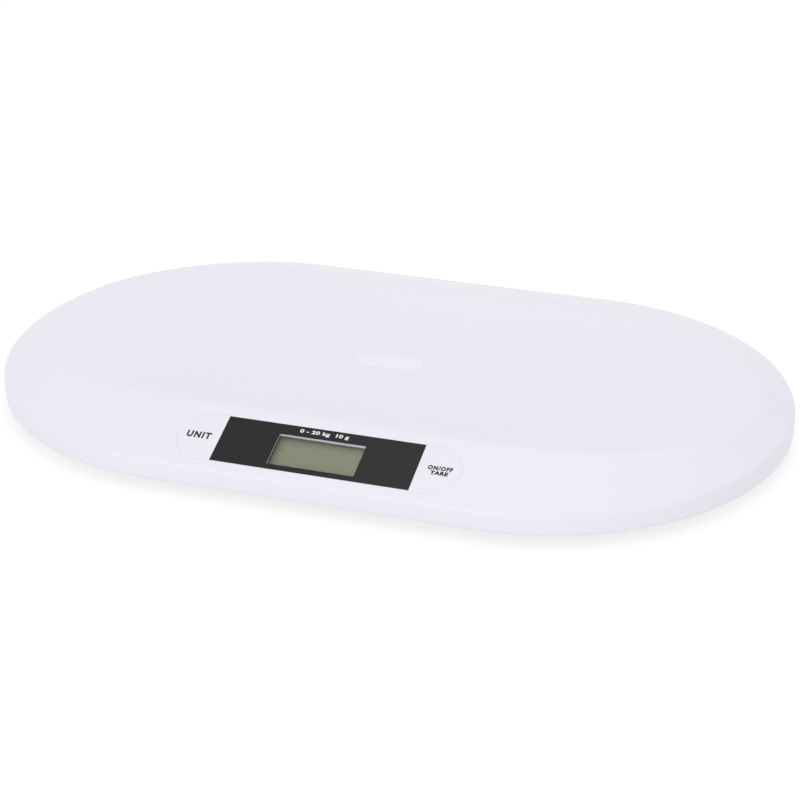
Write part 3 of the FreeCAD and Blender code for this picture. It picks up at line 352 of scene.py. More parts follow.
# %% Heights of flank, bowl and ridge
TILT = math.radians(20.0)
SKIRT_LOW, FOOT_HIGH, RIDGE_HIGH, BOWL_LOW = 8.0, 22.0, 41.0, 30.5
REAR_FLANK, MOUTH_INSET = 54.5, 1.5
RISE = RIDGE_HIGH - FOOT_HIGH
RIDGE_FRONT, RIDGE_REAR = -OUTER + RISE / math.tan(TILT), OUTER - REAR_FLANK
MIDDLE = (RIDGE_FRONT + RIDGE_REAR) / 2
TOP_HALF, TOP_END = (RIDGE_REAR - RIDGE_FRONT) / 2, 135.0
BOWL_HALF, BOWL_END, BOWL_FLAT = TOP_HALF - MOUTH_INSET, 223.0, 0.3
MOUTH_FROM, MOUTH_EASE = 0.89, 75.0
SOFTNESS = 2.2
NEWTON_START, NEWTON_STEPS = 0.8, 14
CREST_FROM, CREST_TO, HALVINGS = 0.3, 1.06, 40


def flank_height(spot):
    """The height grows evenly with the share of the way up. Newton's steps find the share whose oval
    passes through the spot: the miss of the ellipse's equation is divided by how fast it changes."""
    beyond = np.maximum(np.abs(spot[..., 0]) - STRAIGHT, 0.0)
    share = np.full(spot.shape[:-1], NEWTON_START)
    for _ in range(NEWTON_STEPS):
        end, half = OUTER - (OUTER - TOP_END) * share, OUTER - (OUTER - TOP_HALF) * share
        off = spot[..., 1] - MIDDLE * share
        miss = (beyond / end) ** 2 + (off / half) ** 2 - 1.0
        slope = 2 * beyond**2 * (OUTER - TOP_END) / end**3 + 2 * off**2 * (OUTER - TOP_HALF) / half**3
        share = share - miss / (slope - 2 * off * MIDDLE / half**2)
    return FOOT_HIGH + RISE * share


def bowl_share(spot):
    """The size of the bowl's oval through a spot, where 1 is its mouth. Along the straight sides it is the
    share of the half width, and on the ends it is the root of the ellipse's equation, a quadratic one."""
    x, y = np.abs(spot[..., 0]), np.abs(spot[..., 1] - MIDDLE)
    side = y / BOWL_HALF
    square = (STRAIGHT / BOWL_END) ** 2 - 1.0
    single = -2.0 * STRAIGHT * x / BOWL_END**2
    plain = (x / BOWL_END) ** 2 + side**2
    end = (-single - np.sqrt(single**2 - 4.0 * square * plain)) / (2.0 * square)
    return np.where(x <= STRAIGHT * side, side, end)


def bowl_rise(share):
    """Flat up to BOWL_FLAT, then a parabola. From MOUTH_FROM on, a second parabola is taken off it, so that
    the slope eases, and the first one is raised so that the mouth keeps the ridge's height."""
    rise = RIDGE_HIGH - BOWL_LOW + MOUTH_EASE * (1 - MOUTH_FROM) ** 2
    parabola = rise * (np.maximum(share - BOWL_FLAT, 0) / (1 - BOWL_FLAT)) ** 2
    return BOWL_LOW + parabola - MOUTH_EASE * np.maximum(share - MOUTH_FROM, 0) ** 2


def tray_height(spot):
    """The lower of flank and bowl, lowered by up to a quarter of SOFTNESS where they are close."""
    flank, bowl = flank_height(spot), bowl_rise(bowl_share(spot))
    near = np.maximum(SOFTNESS - np.abs(flank - bowl), 0.0) / SOFTNESS
    return np.minimum(flank, bowl) - near**2 * SOFTNESS / 4.0


foot_line = oval(STRAIGHT, OUTER, OUTER)
climb = oval(STRAIGHT, TOP_END, TOP_HALF, MIDDLE) - foot_line
low, high = np.full(len(ALONG), CREST_FROM), np.full(len(ALONG), CREST_TO)
for _ in range(HALVINGS):
    half_way = (low + high) / 2
    spot = foot_line + climb * half_way[:, None]
    under = FOOT_HIGH + RISE * half_way < bowl_rise(bowl_share(spot))
    low, high = np.where(under, half_way, low), np.where(under, high, half_way)
crest = foot_line + climb * low[:, None]
print("ridge from", tray_height(crest).min().round(2), "to", tray_height(crest).max().round(2), "mm")

# %% [markdown]
# The rows of the skin follow one profile, from the rim of the skirt up to the middle of the bowl. Even
# rows would show facets at the bends and waste points on the flats. So rows crowd together where the
# surface turns quickly, at the shoulder and over the ridge, and stand apart where it is nearly flat.
# Where the bowl begins, the columns turn to run straight at the middle.

# %% Rows from the skirt to the middle of the bowl
SHOULDER, RIDGE_REACH, RIM_ROUND = 4.0, 4.0, 1.2
SHOULDER_ROWS, RIDGE_ROWS, BOWL_ROWS, LAST_SHARES = 10, 17, 26, (0.2, 0.1, 0.04)
SKIRT_HEIGHTS = (SKIRT_LOW + RIM_ROUND, 12.0, 15.0)
climb_long = np.linalg.norm(climb, axis=-1)
inward = climb / climb_long[:, None]
flank_long = np.hypot(climb_long, RISE)
bend = np.arccos(RISE / flank_long)
tangent = SHOULDER * np.tan(bend / 2)

skirt_rows = [ring(foot_line, height) for height in SKIRT_HEIGHTS]
angles = np.linspace(0.0, 1.0, SHOULDER_ROWS)[:, None] * bend
shoulder_in = SHOULDER * (1.0 - np.cos(angles))
shoulder_up = FOOT_HIGH - tangent + SHOULDER * np.sin(angles)
shoulder_rows = [ring(foot_line + inward * a[:, None], b) for a, b in zip(shoulder_in, shoulder_up)]

along_crest = np.roll(crest, -1, 0) - np.roll(crest, 1, 0)
across = np.stack([-along_crest[:, 1], along_crest[:, 0]], -1)
across /= np.linalg.norm(across, axis=-1, keepdims=True)
to_middle = np.array((0.0, MIDDLE)) - crest
to_middle /= np.linalg.norm(to_middle, axis=-1, keepdims=True)
out_step = inward * (RIDGE_REACH / (inward * across).sum(-1))[:, None]
in_step = to_middle * (RIDGE_REACH / (to_middle * across).sum(-1))[:, None]
ridge_spots = [crest + share * (out_step if share < 0 else in_step)
               for share in np.linspace(-1.0, 1.0, RIDGE_ROWS)]
ridge_rows = [ring(spots, tray_height(spots)) for spots in ridge_spots]

PATCH_LOW, PATCH_HIGH, PATCH_ROWS = 0.0118, 0.975, 16
share_low = tangent / flank_long
share_high = low - RIDGE_REACH / (inward * across).sum(-1) / climb_long
flank_rows = []
for step in np.linspace(PATCH_LOW, PATCH_HIGH, PATCH_ROWS + 1):
    share = share_low + (share_high - share_low) * step
    flank_rows.append(ring(foot_line + climb * share[:, None], FOOT_HIGH + RISE * share))

rim_share = bowl_share(ridge_spots[-1])
mouth = (ridge_spots[-1] - (0.0, MIDDLE)) / rim_share[:, None]
bowl_rows = []
for step in np.linspace(1.0, 0.0, BOWL_ROWS + 1)[1:]:
    share = BOWL_FLAT + (rim_share - BOWL_FLAT) * step
    bowl_rows.append(ring(mouth * share[:, None] + (0.0, MIDDLE), bowl_rise(share)))
bowl_rows += [ring(mouth * share + (0.0, MIDDLE), BOWL_LOW) for share in LAST_SHARES]
outer_rows = np.array(skirt_rows + shoulder_rows + flank_rows + ridge_rows + bowl_rows)
print("rows", len(outer_rows), "points", outer_rows.shape[0] * outer_rows.shape[1])

# %% [markdown]
# The wall is 2.5 mm thick all over, as a moulding's has to be. A Solidify modifier could make it, but it
# would close the keypad's openings in its own way. So the inside is the outside moved in along its own
# normals, which keeps the wall even round every curve. The two skins meet in a rounded rim under the
# skirt.

# %% Inside of the tray and its rim
WALL, INNER_ROUND = 2.5, 0.4


def normals_of(rows):
    """Unit normals of a grid of rows: the step to the next column crossed with the step to the next row."""
    round_step = np.roll(rows, -1, 1) - np.roll(rows, 1, 1)
    cross = np.cross(round_step, np.gradient(rows, axis=0))
    return cross / np.linalg.norm(cross, axis=-1, keepdims=True)


inner_rows = (outer_rows - WALL * normals_of(outer_rows))[::-1]
inner_rows[-3:, :, 2] = outer_rows[:3, :, 2][::-1]
rim_profile = [(WALL - out * INNER_ROUND, SKIRT_LOW + up * INNER_ROUND)
               for out, up in ((0.0, 1.0), (0.3, 0.3), (1.0, 0.0))]
rim_profile += [(RIM_ROUND * (1.0 - math.sin(a)), SKIRT_LOW + RIM_ROUND * (1.0 - math.cos(a)))
                for a in np.radians((0, 18, 36, 54, 72))]
rim_rows = [ring(oval(STRAIGHT, OUTER - inset, OUTER - inset), height) for inset, height in rim_profile]
tray_rings = np.concatenate([inner_rows, rim_rows, outer_rows])
print("tray rings", len(tray_rings))

# %% [markdown]
# The keypad sits in a slot-shaped pocket in the front flank. A Boolean could cut the pocket, but it
# leaves long thin faces that spoil the shading beside the cut. The flank is flat there, so a rectangle
# of its faces is left out and filled again with rings of equal count: rectangle, pocket edge, pocket
# floor, the view opening with the seat of the display below, and the underside. A spine of half
# length 75 mm, with an offset all round, gives every slot shape of the keypad.

# %% Rings of the keypad
COS, SIN, PAD_UP = math.cos(TILT), math.sin(TILT), 27.2
PAD_Y, PAD_Z = -OUTER + PAD_UP * COS, FOOT_HIGH + PAD_UP * SIN
SPINE, WINDOW_EDGE, PATCH_FIRST, PATCH_LAST = 75.1, 66.4, 4, 96
# Points in a quarter of a ring: along the window, from there to the end of the spine, and round the end.
EDGE, BEYOND, AROUND = 31, 3, 21


def on_shelf(x, u, v):
    """x stays, u runs up the slope and v out of it, both from the middle of the keypad."""
    x, u, v = np.broadcast_arrays(x, u, v)
    return np.stack([x, PAD_Y + u * COS - v * SIN, PAD_Z + u * SIN + v * COS], -1)


quarter_run = np.concatenate([
    np.linspace(0.0, WINDOW_EDGE, EDGE, endpoint=False),
    np.linspace(WINDOW_EDGE, SPINE, BEYOND, endpoint=False), np.full(AROUND, SPINE),
])
quarter_turn = np.concatenate([np.zeros(EDGE + BEYOND), np.radians(np.linspace(0.0, 90.0, AROUND))])


def four_quarters(values, flip_right, flip_top):
    """A value for the lower right quarter, mirrored into the other three, from the middle of the bottom."""
    forth, back_again = values[:-1], values[:0:-1]
    return np.concatenate([
        forth, flip_top * back_again, flip_top * flip_right * forth, flip_right * back_again,
    ])


spine_x = four_quarters(quarter_run, -1, 1)
away_x = four_quarters(np.sin(quarter_turn), -1, 1)
away_u = four_quarters(-np.cos(quarter_turn), 1, -1)
COUNT = len(spine_x)


def slot_ring(radius, v):
    """The slot-shaped ring at an offset from the spine and a height out of the shelf."""
    return on_shelf(spine_x + radius * away_x, radius * away_u, v)


print("keypad ring", COUNT, "points")

# %% [markdown]
# The floor of the pocket has three openings: one for the view, and one for the stem of each key. They
# could be cut too, but an opening with as many points as the ring round it needs only a plain strip to
# join the two. The spots nearest to its corners are moved into them, which keeps the corners sharp.


# %% Openings in the pocket's floor
def opening(around, half_x, half_u, middle_u=0.0, middle_x=0.0):
    """For each point round an opening, the spot on the opening's edge on the line to its middle, as
    shares of its half sizes. The nearest spot to each corner is moved into it."""
    shares = (around - (middle_x, middle_u)) / (half_x, half_u)
    shares = shares / np.abs(shares).max(-1, keepdims=True)
    for corner in ((-1, -1), (1, -1), (1, 1), (-1, 1)):
        shares[np.linalg.norm(shares - corner, axis=-1).argmin()] = corner
    return shares


def edge_at(shares, half_x, half_u, v, middle_u=0.0, middle_x=0.0):
    """The ring of an opening at a height out of the shelf: its middle plus its shares of the half sizes."""
    return on_shelf(middle_x + shares[:, 0] * half_x, middle_u + shares[:, 1] * half_u, v)


QUARTER = COUNT // 4
low_right, high_right = EDGE, 2 * QUARTER - EDGE
high_left, low_left = 2 * QUARTER + EDGE, COUNT - EDGE
right_run = np.arange(low_right, high_right + 1)
left_run = np.arange(high_left, low_left + 1)
top_run = np.arange(high_right, high_left + 1)
bottom_run = np.append(np.arange(low_left, COUNT), np.arange(0, low_right + 1))
print("runs", len(right_run), len(top_run), len(left_run), len(bottom_run))

# %% [markdown]
# Now the tray is put together as one mesh, because one closed skin can't show a seam. First come both
# skins, joined by the rim of the skirt, with the rectangle for the keypad left out of each.

# %% Both skins of the tray
tray = Form()
numbers = tray.add(tray_rings)
inner_count, first_outer = len(inner_rows), len(tray_rings) - len(outer_rows)
patch_rows = first_outer + len(skirt_rows) + len(shoulder_rows) + np.arange(PATCH_ROWS + 1)
inner_patch = inner_count - 1 - (patch_rows - first_outer)
beside_patch = np.append(np.arange(PATCH_LAST, len(ALONG)), np.arange(0, PATCH_FIRST + 1))
for row in range(len(tray_rings) - 1):
    if patch_rows[0] <= row < patch_rows[-1] or inner_patch[-1] <= row < inner_patch[0]:
        tray.strip(numbers[row, beside_patch], numbers[row + 1, beside_patch], closed=False)
    else:
        tray.strip(numbers[row], numbers[row + 1])
bottom_tip, top_tip = tray.add([(0.0, MIDDLE, BOWL_LOW - WALL), (0.0, MIDDLE, BOWL_LOW)])
tray.fan(numbers[0][::-1], bottom_tip)
tray.fan(numbers[-1], top_tip)
print("skins", tray.total, "points")

# %% [markdown]
# On the real tray only a hairline shows round the keys. It comes from a softened lip that catches the
# light, so the lip is modelled and not drawn as a dark line. The pocket's wall goes down 1 mm beside the
# window and 2 mm beside the keys, which need room to travel.


# %% Lip and wall of the pocket
def patch_edge(rows):
    """The rectangle's outline in a skin, anticlockwise from the middle of its lower side."""
    middle = (PATCH_FIRST + PATCH_LAST) // 2
    columns = np.arange(PATCH_FIRST, PATCH_LAST + 1)
    return np.concatenate([
        numbers[rows[0], columns[columns >= middle]][:-1], numbers[rows, PATCH_LAST][:-1],
        numbers[rows[-1], columns[::-1]][:-1], numbers[rows[::-1], PATCH_FIRST][:-1],
        numbers[rows[0], columns[columns < middle]],
    ])


def chain(form, *rings_in_turn):
    """Strips between rings in turn; a ring may be points or the numbers of points already there."""
    rows = [each if each.ndim == 1 else form.add(each) for each in rings_in_turn]
    for first, second in zip(rows[:-1], rows[1:]):
        form.strip(first, second)
    return rows[-1]


POCKET, LIP, POCKET_MARGIN = 20.0, 0.1, 1.2
WINDOW_FLOOR, KEY_FLOOR, UNDERSIDE = -1.0, -2.0, -4.0
lips = [slot_ring(POCKET + LIP * (1 - math.sin(a)), -LIP * (1 - math.cos(a)))
        for a in np.radians((0, 30, 60, 90))]
ledge = chain(tray, patch_edge(patch_rows), slot_ring(POCKET + POCKET_MARGIN, 0.0), *lips,
              slot_ring(POCKET, WINDOW_FLOOR))
deep = tray.add(slot_ring(POCKET, KEY_FLOOR))
for run in (right_run, left_run):
    tray.strip(ledge[run], deep[run], closed=False)
print("pocket", 2 * (SPINE + POCKET), "mm long")

# %% [markdown]
# Between the window and each key the floor steps down. Two lines of points across the pocket, one above
# the other, make each step. They also split the floor into three parts, left key, window and right key,
# so each part has one opening and one ring of points round it.

# %% Steps and parts of the pocket's floor
STEP_POINTS = 14
steps_u = np.linspace(-POCKET, POCKET, STEP_POINTS + 2)[1:-1]


def step_lines(v):
    """The points across the pocket at both steps, at a height out of the shelf."""
    return {side: tray.add(on_shelf(side * WINDOW_EDGE, steps_u, v)) for side in (-1, 1)}


step_high, step_low, step_base = step_lines(WINDOW_FLOOR), step_lines(KEY_FLOOR), step_lines(UNDERSIDE)
for side, foot, head in ((1, low_right, high_right), (-1, low_left, high_left)):
    upper = np.concatenate([[ledge[foot]], step_high[side], [ledge[head]]])
    lower = np.concatenate([[deep[foot]], step_low[side], [deep[head]]])
    if side > 0:
        upper, lower = upper[::-1], lower[::-1]
    tray.strip(upper, lower, closed=False)


def part(whole, steps, side):
    """What lies round one part of the floor, left, middle or right: runs of the whole ring and the lines
    at the steps. It takes point numbers, and it takes spots."""
    if side > 0:
        return np.concatenate([whole[right_run], steps[1][::-1]])
    if side < 0:
        return np.concatenate([whole[left_run], steps[-1]])
    return np.concatenate([whole[bottom_run], steps[1], whole[top_run], steps[-1][::-1]])


pocket_spots = np.stack([spine_x + POCKET * away_x, POCKET * away_u], -1)
step_spots = {side: np.stack([np.full(STEP_POINTS, side * WINDOW_EDGE), steps_u], -1) for side in (-1, 1)}
spots = {side: part(pocket_spots, step_spots, side) for side in (-1, 0, 1)}
print("steps at", WINDOW_EDGE, "mm from the middle")

# %% [markdown]
# The view goes through the floor with a softened edge, and widens below into the seat of the display
# glass. A square hole for each key's stem goes straight through. Each is a chain of rings from the top
# to the underside, so the walls come with the holes, and the last rings close the underside.

# %% View, stem holes and underside
DROP, VIEW_X, VIEW_U, SEAT_X, SEAT_U, SEAT_TOP = -2.1, 29.25, 12.75, 33.3, 16.8, -3.2
STEM_HOLE, KEY_MIDDLE = 3.3, 80.0
SOFT, SOFT_MIDDLE, BASE = 0.15, 0.04, POCKET + 3.0
view = opening(spots[0], VIEW_X, VIEW_U, DROP)
base = tray.add(slot_ring(BASE, UNDERSIDE))
seat_end = chain(
    tray, part(ledge, step_high, 0),
    edge_at(view, VIEW_X + SOFT, VIEW_U + SOFT, WINDOW_FLOOR, DROP),
    edge_at(view, VIEW_X + SOFT_MIDDLE, VIEW_U + SOFT_MIDDLE, WINDOW_FLOOR - SOFT_MIDDLE, DROP),
    edge_at(view, VIEW_X, VIEW_U, WINDOW_FLOOR - SOFT, DROP), edge_at(view, VIEW_X, VIEW_U, SEAT_TOP, DROP),
    edge_at(view, SEAT_X, SEAT_U, SEAT_TOP, DROP), edge_at(view, SEAT_X, SEAT_U, UNDERSIDE, DROP),
)
tray.strip(seat_end, part(base, step_base, 0))
for side in (-1, 1):
    place = (0.0, side * KEY_MIDDLE)
    stem = opening(spots[side], STEM_HOLE, STEM_HOLE, *place)
    walls = [edge_at(stem, STEM_HOLE, STEM_HOLE, v, *place) for v in (KEY_FLOOR, UNDERSIDE)]
    chain(tray, part(deep, step_low, side), *walls, part(base, step_base, side))
chain(tray, base, slot_ring(BASE, -WALL), patch_edge(inner_patch))
print("tray shell", tray.total, "points")

# %% [markdown]
# The cover's screws bite into towers under the tray, and the board's into bosses behind the keypad. The
# Screw modifier could turn a profile into such a solid. Here a profile of radii and heights is carried
# round an axis by formula, so that a tower can also end just under the tray's curved top.


# %% Turned solids, towers and bosses
def turned(form, profile, x=0.0, y=0.0, steps=56, placed=None, loop=False):
    """A ring for every radius and height of the profile, round an axis at x, y. It is closed on the axis,
    or with loop it is a sleeve whose last ring meets its first."""
    angle = np.linspace(0.0, 2 * np.pi, steps, endpoint=False)
    radius, height = np.array(profile, float).T[..., None]
    points = np.stack(np.broadcast_arrays(x + radius * np.cos(angle), y + radius * np.sin(angle), height), -1)
    form.skin(placed(*np.moveaxis(points, -1, 0)) if placed else points, loop)


SUNK, SKY_HIGH = 1.2, 50.0
HOLE_HIGH, HOLE_ROOF = 23.0, 3.0


def under_skin(x, y, z):
    """The same spot, or the spot SUNK below the top of the tray where that is lower."""
    x, y, z = np.broadcast_arrays(x, y, z)
    return np.stack([x, y, np.minimum(z, tray_height(np.stack([x, y], -1).astype(float)) - SUNK)], -1)


FOUR = [(a, b) for a in (-1, 1) for b in (-1, 1)]
TOWERS = [(a * 135.0, b * 135.0) for a, b in FOUR] + [(-236, 0), (236, 0), (0, -105), (0, 140)]
TOWER = [(1.5, 11.4), (1.9, 11.0), (3.6, 11.0), (4.0, 11.4), (4.0, SKY_HIGH)]
BOSS = [(1.1, -4.1), (1.1, -9.0), (2.7, -9.0), (3.0, -8.7), (3.0, -3.5)]
BOSS_X, BOSS_U, POST_STEPS = 58.0, 13.0, 28
for x, y in TOWERS:
    hole_high = min(HOLE_HIGH, float(under_skin(x, y, SKY_HIGH)[2]) - HOLE_ROOF)
    turned(tray, [(1.5, hole_high)] + TOWER, x, y, steps=POST_STEPS, placed=under_skin)
for a, b in FOUR:
    turned(tray, BOSS, a * BOSS_X, DROP + b * BOSS_U, steps=POST_STEPS, placed=on_shelf)
put("tray_shell", tray, "scale_body", tray_plastic, ("top_shell",), crease=32.0)

# %% [markdown]
# The two keys are D-shaped caps that lie flush in the pocket, one at each end of the window, and a
# hairline gap with softened edges is all that shows of them. They could be cut out of the tray's skin,
# but they move, so they are solids of their own that follow the pocket's outline at a smaller offset.
# Each has a stem with two hooks below, as the real ones do, and it can be turned over and looked at.

# %% Keys
KEY_RADIUS, KEY_EDGE, KEY_LIP, KEY_LOW, KEY_CHAMFER = 19.93, 66.5, 0.1, -1.2, 0.3
STEM_HALF, STEM_LOW, STEM_HIGH, HOOK_X, HOOK_U, HOOK_GAP = 3.0, -5.2, -1.0, 4.0, 1.5, 0.12
key_plastic = finish("key_plastic", TRAY_WHITE, 0.36, grain=0.5, depth=0.0015, cloud=50.0, shift=0.012)


def key_ring(side, inset, v):
    """The D outline moved in by an inset: the pocket's end run at a smaller offset, and a straight edge."""
    radius, edge = KEY_RADIUS - inset, KEY_EDGE + inset
    x = (spine_x + radius * away_x)[right_run]
    u = (radius * away_u)[right_run]
    x[0] = x[-1] = edge
    line = np.linspace(radius, -radius, STEP_POINTS)[1:-1]
    x, u = np.append(x, np.full(len(line), edge)), np.append(u, line)
    return on_shelf(x, u, v) if side > 0 else on_shelf(-x[::-1], u[::-1], v)


CORNER_POINTS, KEPT = 5, 0.1


def block(form, x, u, v_low, v_high, half_x, half_u, corner=0.3):
    """A block on the slope with rounded corners. Four quarter circles make its ring, and at both ends
    their radius shrinks to the share KEPT."""
    turn = np.radians(np.add.outer((-90, 0, 90, 180), np.linspace(0, 90, CORNER_POINTS))).ravel()
    sign_x, sign_u = np.repeat(((1, 1, -1, -1), (-1, 1, 1, -1)), CORNER_POINTS, axis=1)
    small = corner * KEPT
    rings = []
    for reach, v in ((small, v_low), (corner, v_low + corner), (corner, v_high - corner), (small, v_high)):
        rings.append(on_shelf(x + sign_x * (half_x - corner) + reach * np.cos(turn),
                              u + sign_u * (half_u - corner) + reach * np.sin(turn), v))
    form.skin(rings)


for name, side in (("unit_button", -1), ("power_button", 1)):
    key = Form()
    profile = [(KEY_CHAMFER, KEY_LOW), (0.0, STEM_HIGH), (0.0, -KEY_LIP)]
    profile += [(KEY_LIP * (1 - math.cos(a)), -KEY_LIP * (1 - math.sin(a))) for a in np.radians((30, 60, 90))]
    key.skin([key_ring(side, inset, v) for inset, v in profile])
    block(key, side * KEY_MIDDLE, 0.0, STEM_LOW, STEM_HIGH, STEM_HALF, STEM_HALF)
    block(key, side * KEY_MIDDLE, 0.0, STEM_LOW, UNDERSIDE - HOOK_GAP, HOOK_X, HOOK_U)
    put(name + "_cap", key, name, key_plastic, (name,), crease=32.0)

# %% [markdown]
# The window is a clear sheet, printed black but for a view over the display. The print could be a dark
# patch in the sheet's material, with its edges worked out from coordinates. As a thin ring of plastic of
# its own it has real edges, and it hardly shines, as the real one does. Its colour is painted a hair
# lighter towards the right end, a painted reflection. For that, a helper paints shade into a finish's
# colour, scaling it by a share that changes smoothly along one axis.


# %% Black print of the window
def shade(material, axis, start, clear, share):
    """Paints shade into a material: its colour is scaled by a share at the start, in mm along an axis,
    which grows smoothly to 1 at clear.
    """
    tree, links = material.node_tree, material.node_tree.links
    base_colour = tree.nodes["Principled BSDF"].inputs["Base Color"]
    split = add_node(tree, "SeparateXYZ")
    spread = add_node(tree, "MapRange", From_Min=start * MM, From_Max=clear * MM, To_Min=share)
    spread.interpolation_type = "SMOOTHSTEP"
    scaled = add_node(tree, "VectorMath")
    scaled.operation = "SCALE"
    links.new(tree.nodes["Texture Coordinate"].outputs["Object"], split.inputs[0])
    links.new(split.outputs[axis], spread.inputs["Value"])
    links.new(base_colour.links[0].from_socket, scaled.inputs[0])
    links.new(spread.outputs["Result"], scaled.inputs["Scale"])
    links.new(scaled.outputs[0], base_colour)


BLACK_X, BLACK_U, PRINT = 66.3, 19.4, 0.35
PRINT_PAINTED_REFLECTION = (-BLACK_X, BLACK_X, 0.74)
window_black = finish("window_black", srgb(43, 42, 44), 0.4, grain=0.25, depth=0.0008, cloud=30.0,
                      shift=0.05, gloss=0.12)
# Painted reflection: the print's colour is scaled from 0.74 at its left end up to full at its right end.
shade(window_black, "X", *PRINT_PAINTED_REFLECTION)
HOLE_X, HOLE_U, HOLE_MIDDLE = 29.15, 13.1, (-1.95, 0.1)
black_edge = opening(spots[0], BLACK_X, BLACK_U)
hole_edge = opening(spots[0], HOLE_X, HOLE_U, *HOLE_MIDDLE)
outside, inside = ((0.0, -PRINT), (0.0, -0.06), (-0.06, 0.0)), ((0.04, 0.0), (0.0, -0.05), (0.0, -PRINT))
window_rings = [edge_at(black_edge, BLACK_X + grow, BLACK_U + grow, v) for grow, v in outside]
window_rings += [edge_at(hole_edge, HOLE_X + grow, HOLE_U + grow, v, *HOLE_MIDDLE) for grow, v in inside]
window = Form()
window.skin(window_rings, loop=True)
put("window_print", window, "scale_body", window_black, ("display_window",), crease=32.0)

# %% [markdown]
# Along its two long sides the print stops short of the pocket, and the tray's colour shows there. It
# could be left open down to the pocket's floor, but then dust and shadow would draw a second dark line.
# Two narrow strips fill it.

# %% Border of the window
BORDER, HAIR = POCKET - BLACK_U, 0.01
border = Form()
for side in (-1, 1):
    block(border, 0.0, side * (BLACK_U + BORDER / 2), -PRINT, 0.0, BLACK_X, BORDER / 2 - HAIR, corner=0.03)
put("window_border", border, "scale_body", key_plastic, ("display_window",), crease=32.0)

# %% [markdown]
# The clear sheet lies under the print. A glass shader would bend the light twice in so thin a sheet and
# leave noise on the display. So light goes straight through, and a faint reflection grows where the
# sheet is seen at a slant, as on any glossy plastic. Only the outer face reflects, so no light is
# caught inside. A slow haze changes how sharp the reflection is.

# %% Clear sheet
SHEET_IOR, HAZE_SIZE, HAZE_ROUGH = 1.3, 12.0, (0.03, 0.05)
SHEET_LIFT, SHEET_GAP = 0.03, 0.2
clear = bpy.data.materials.new("clear_sheet")
clear.use_nodes = True
clear_tree = clear.node_tree
clear_tree.nodes.clear()
see_through = add_node(clear_tree, "BsdfTransparent", Color=(0.97, 0.975, 0.97, 1.0))
gloss = add_node(clear_tree, "BsdfGlossy")
haze = add_node(clear_tree, "TexNoise", Scale=1.0 / (HAZE_SIZE * MM))
clear_tree.links.new(add_node(clear_tree, "TexCoord").outputs["Object"], haze.inputs["Vector"])
between(clear_tree, haze.outputs["Fac"], *HAZE_ROUGH, gloss.inputs["Roughness"])
slant_share = add_node(clear_tree, "Fresnel", IOR=SHEET_IOR)
facing = add_node(clear_tree, "NewGeometry")
outer_only = add_node(clear_tree, "Math")
outer_only.operation = "MULTIPLY"
clear_tree.links.new(slant_share.outputs["Fac"], outer_only.inputs[0])
between(clear_tree, facing.outputs["Backfacing"], 1.0, 0.0, outer_only.inputs[1])
blend, clear_out = add_node(clear_tree, "MixShader"), add_node(clear_tree, "OutputMaterial")
clear_tree.links.new(outer_only.outputs[0], blend.inputs["Fac"])
clear_tree.links.new(see_through.outputs[0], blend.inputs[1])
clear_tree.links.new(gloss.outputs[0], blend.inputs[2])
clear_tree.links.new(blend.outputs[0], clear_out.inputs["Surface"])
pane = Form()
block(pane, 0.0, 0.0, WINDOW_FLOOR + SHEET_LIFT, -PRINT - HAIR, BLACK_X, POCKET - SHEET_GAP, corner=0.05)
put("window_pane", pane, "scale_body", clear, ("display_window",))

# %% [markdown]
# A strip of foam lines the lower part of the view's wall and seals the display glass against dust. It
# could be left out, but then the pale wall would reach down to the glass. The strip also stands in for the
# shadow at the glass's edge, so its colour is painted: light grey along the far side, where light reaches
# it, and painted shade, much darker, at the sides and near side, where the window shades it. It is cut
# by hand, so it isn't quite level.

# %% Foam round the display glass
FOAM, FOAM_LOW, FOAM_HIGH, FOAM_LEAN = 0.35, SEAT_TOP - 0.02, -1.8, 0.25
FAR_Y = float(on_shelf(0.0, VIEW_U - FOAM + DROP, FOAM_LOW)[1])
SIDE_SHADE = (FAR_Y - 1.0, FAR_Y - 0.6, 0.3)
foam_painted_shade = finish("foam_painted_shade", srgb(112, 116, 112), 0.9, grain=0.2, depth=0.03, cloud=3.0, shift=0.15)
# Painted shade: the colour is darkened to a share of 0.3 everywhere but along the far side.
shade(foam_painted_shade, "Y", *SIDE_SHADE)
foam = Form()
foam_top = FOAM_HIGH - FOAM_LEAN * view[:, 0]
foam_profile = ((0.02, FOAM_LOW), (0.02, foam_top), (0.15, foam_top + 0.05), (FOAM, foam_top),
                (FOAM, FOAM_LOW))
foam.skin([edge_at(view, VIEW_X - inset, VIEW_U - inset, v, DROP) for inset, v in foam_profile], loop=True)
put("display_foam_and_painted_shade", foam, "scale_body", foam_painted_shade, crease=50.0)

# %% [markdown]
# The words on the keys say what they do, and the line over the display gives the range in plain figures.
# Pad printing leaves a hair of ink on the surface. A picture of the words would blur close up, so they
# are text curves with a hair of depth, turned into a mesh and then laid on the slope.

# %% Printed words
INK_LOW, INK_DEEP, THIN, CURVE_STEPS = 0.005, 0.05, 0.01, 4
key_ink = finish("key_ink", srgb(26, 24, 28), 0.5, grain=0.2, depth=0.0005, cloud=5.0, shift=0.08)
white_ink = finish("white_ink", srgb(228, 228, 230), 0.5, grain=0.2, depth=0.0005, cloud=5.0, shift=0.02)


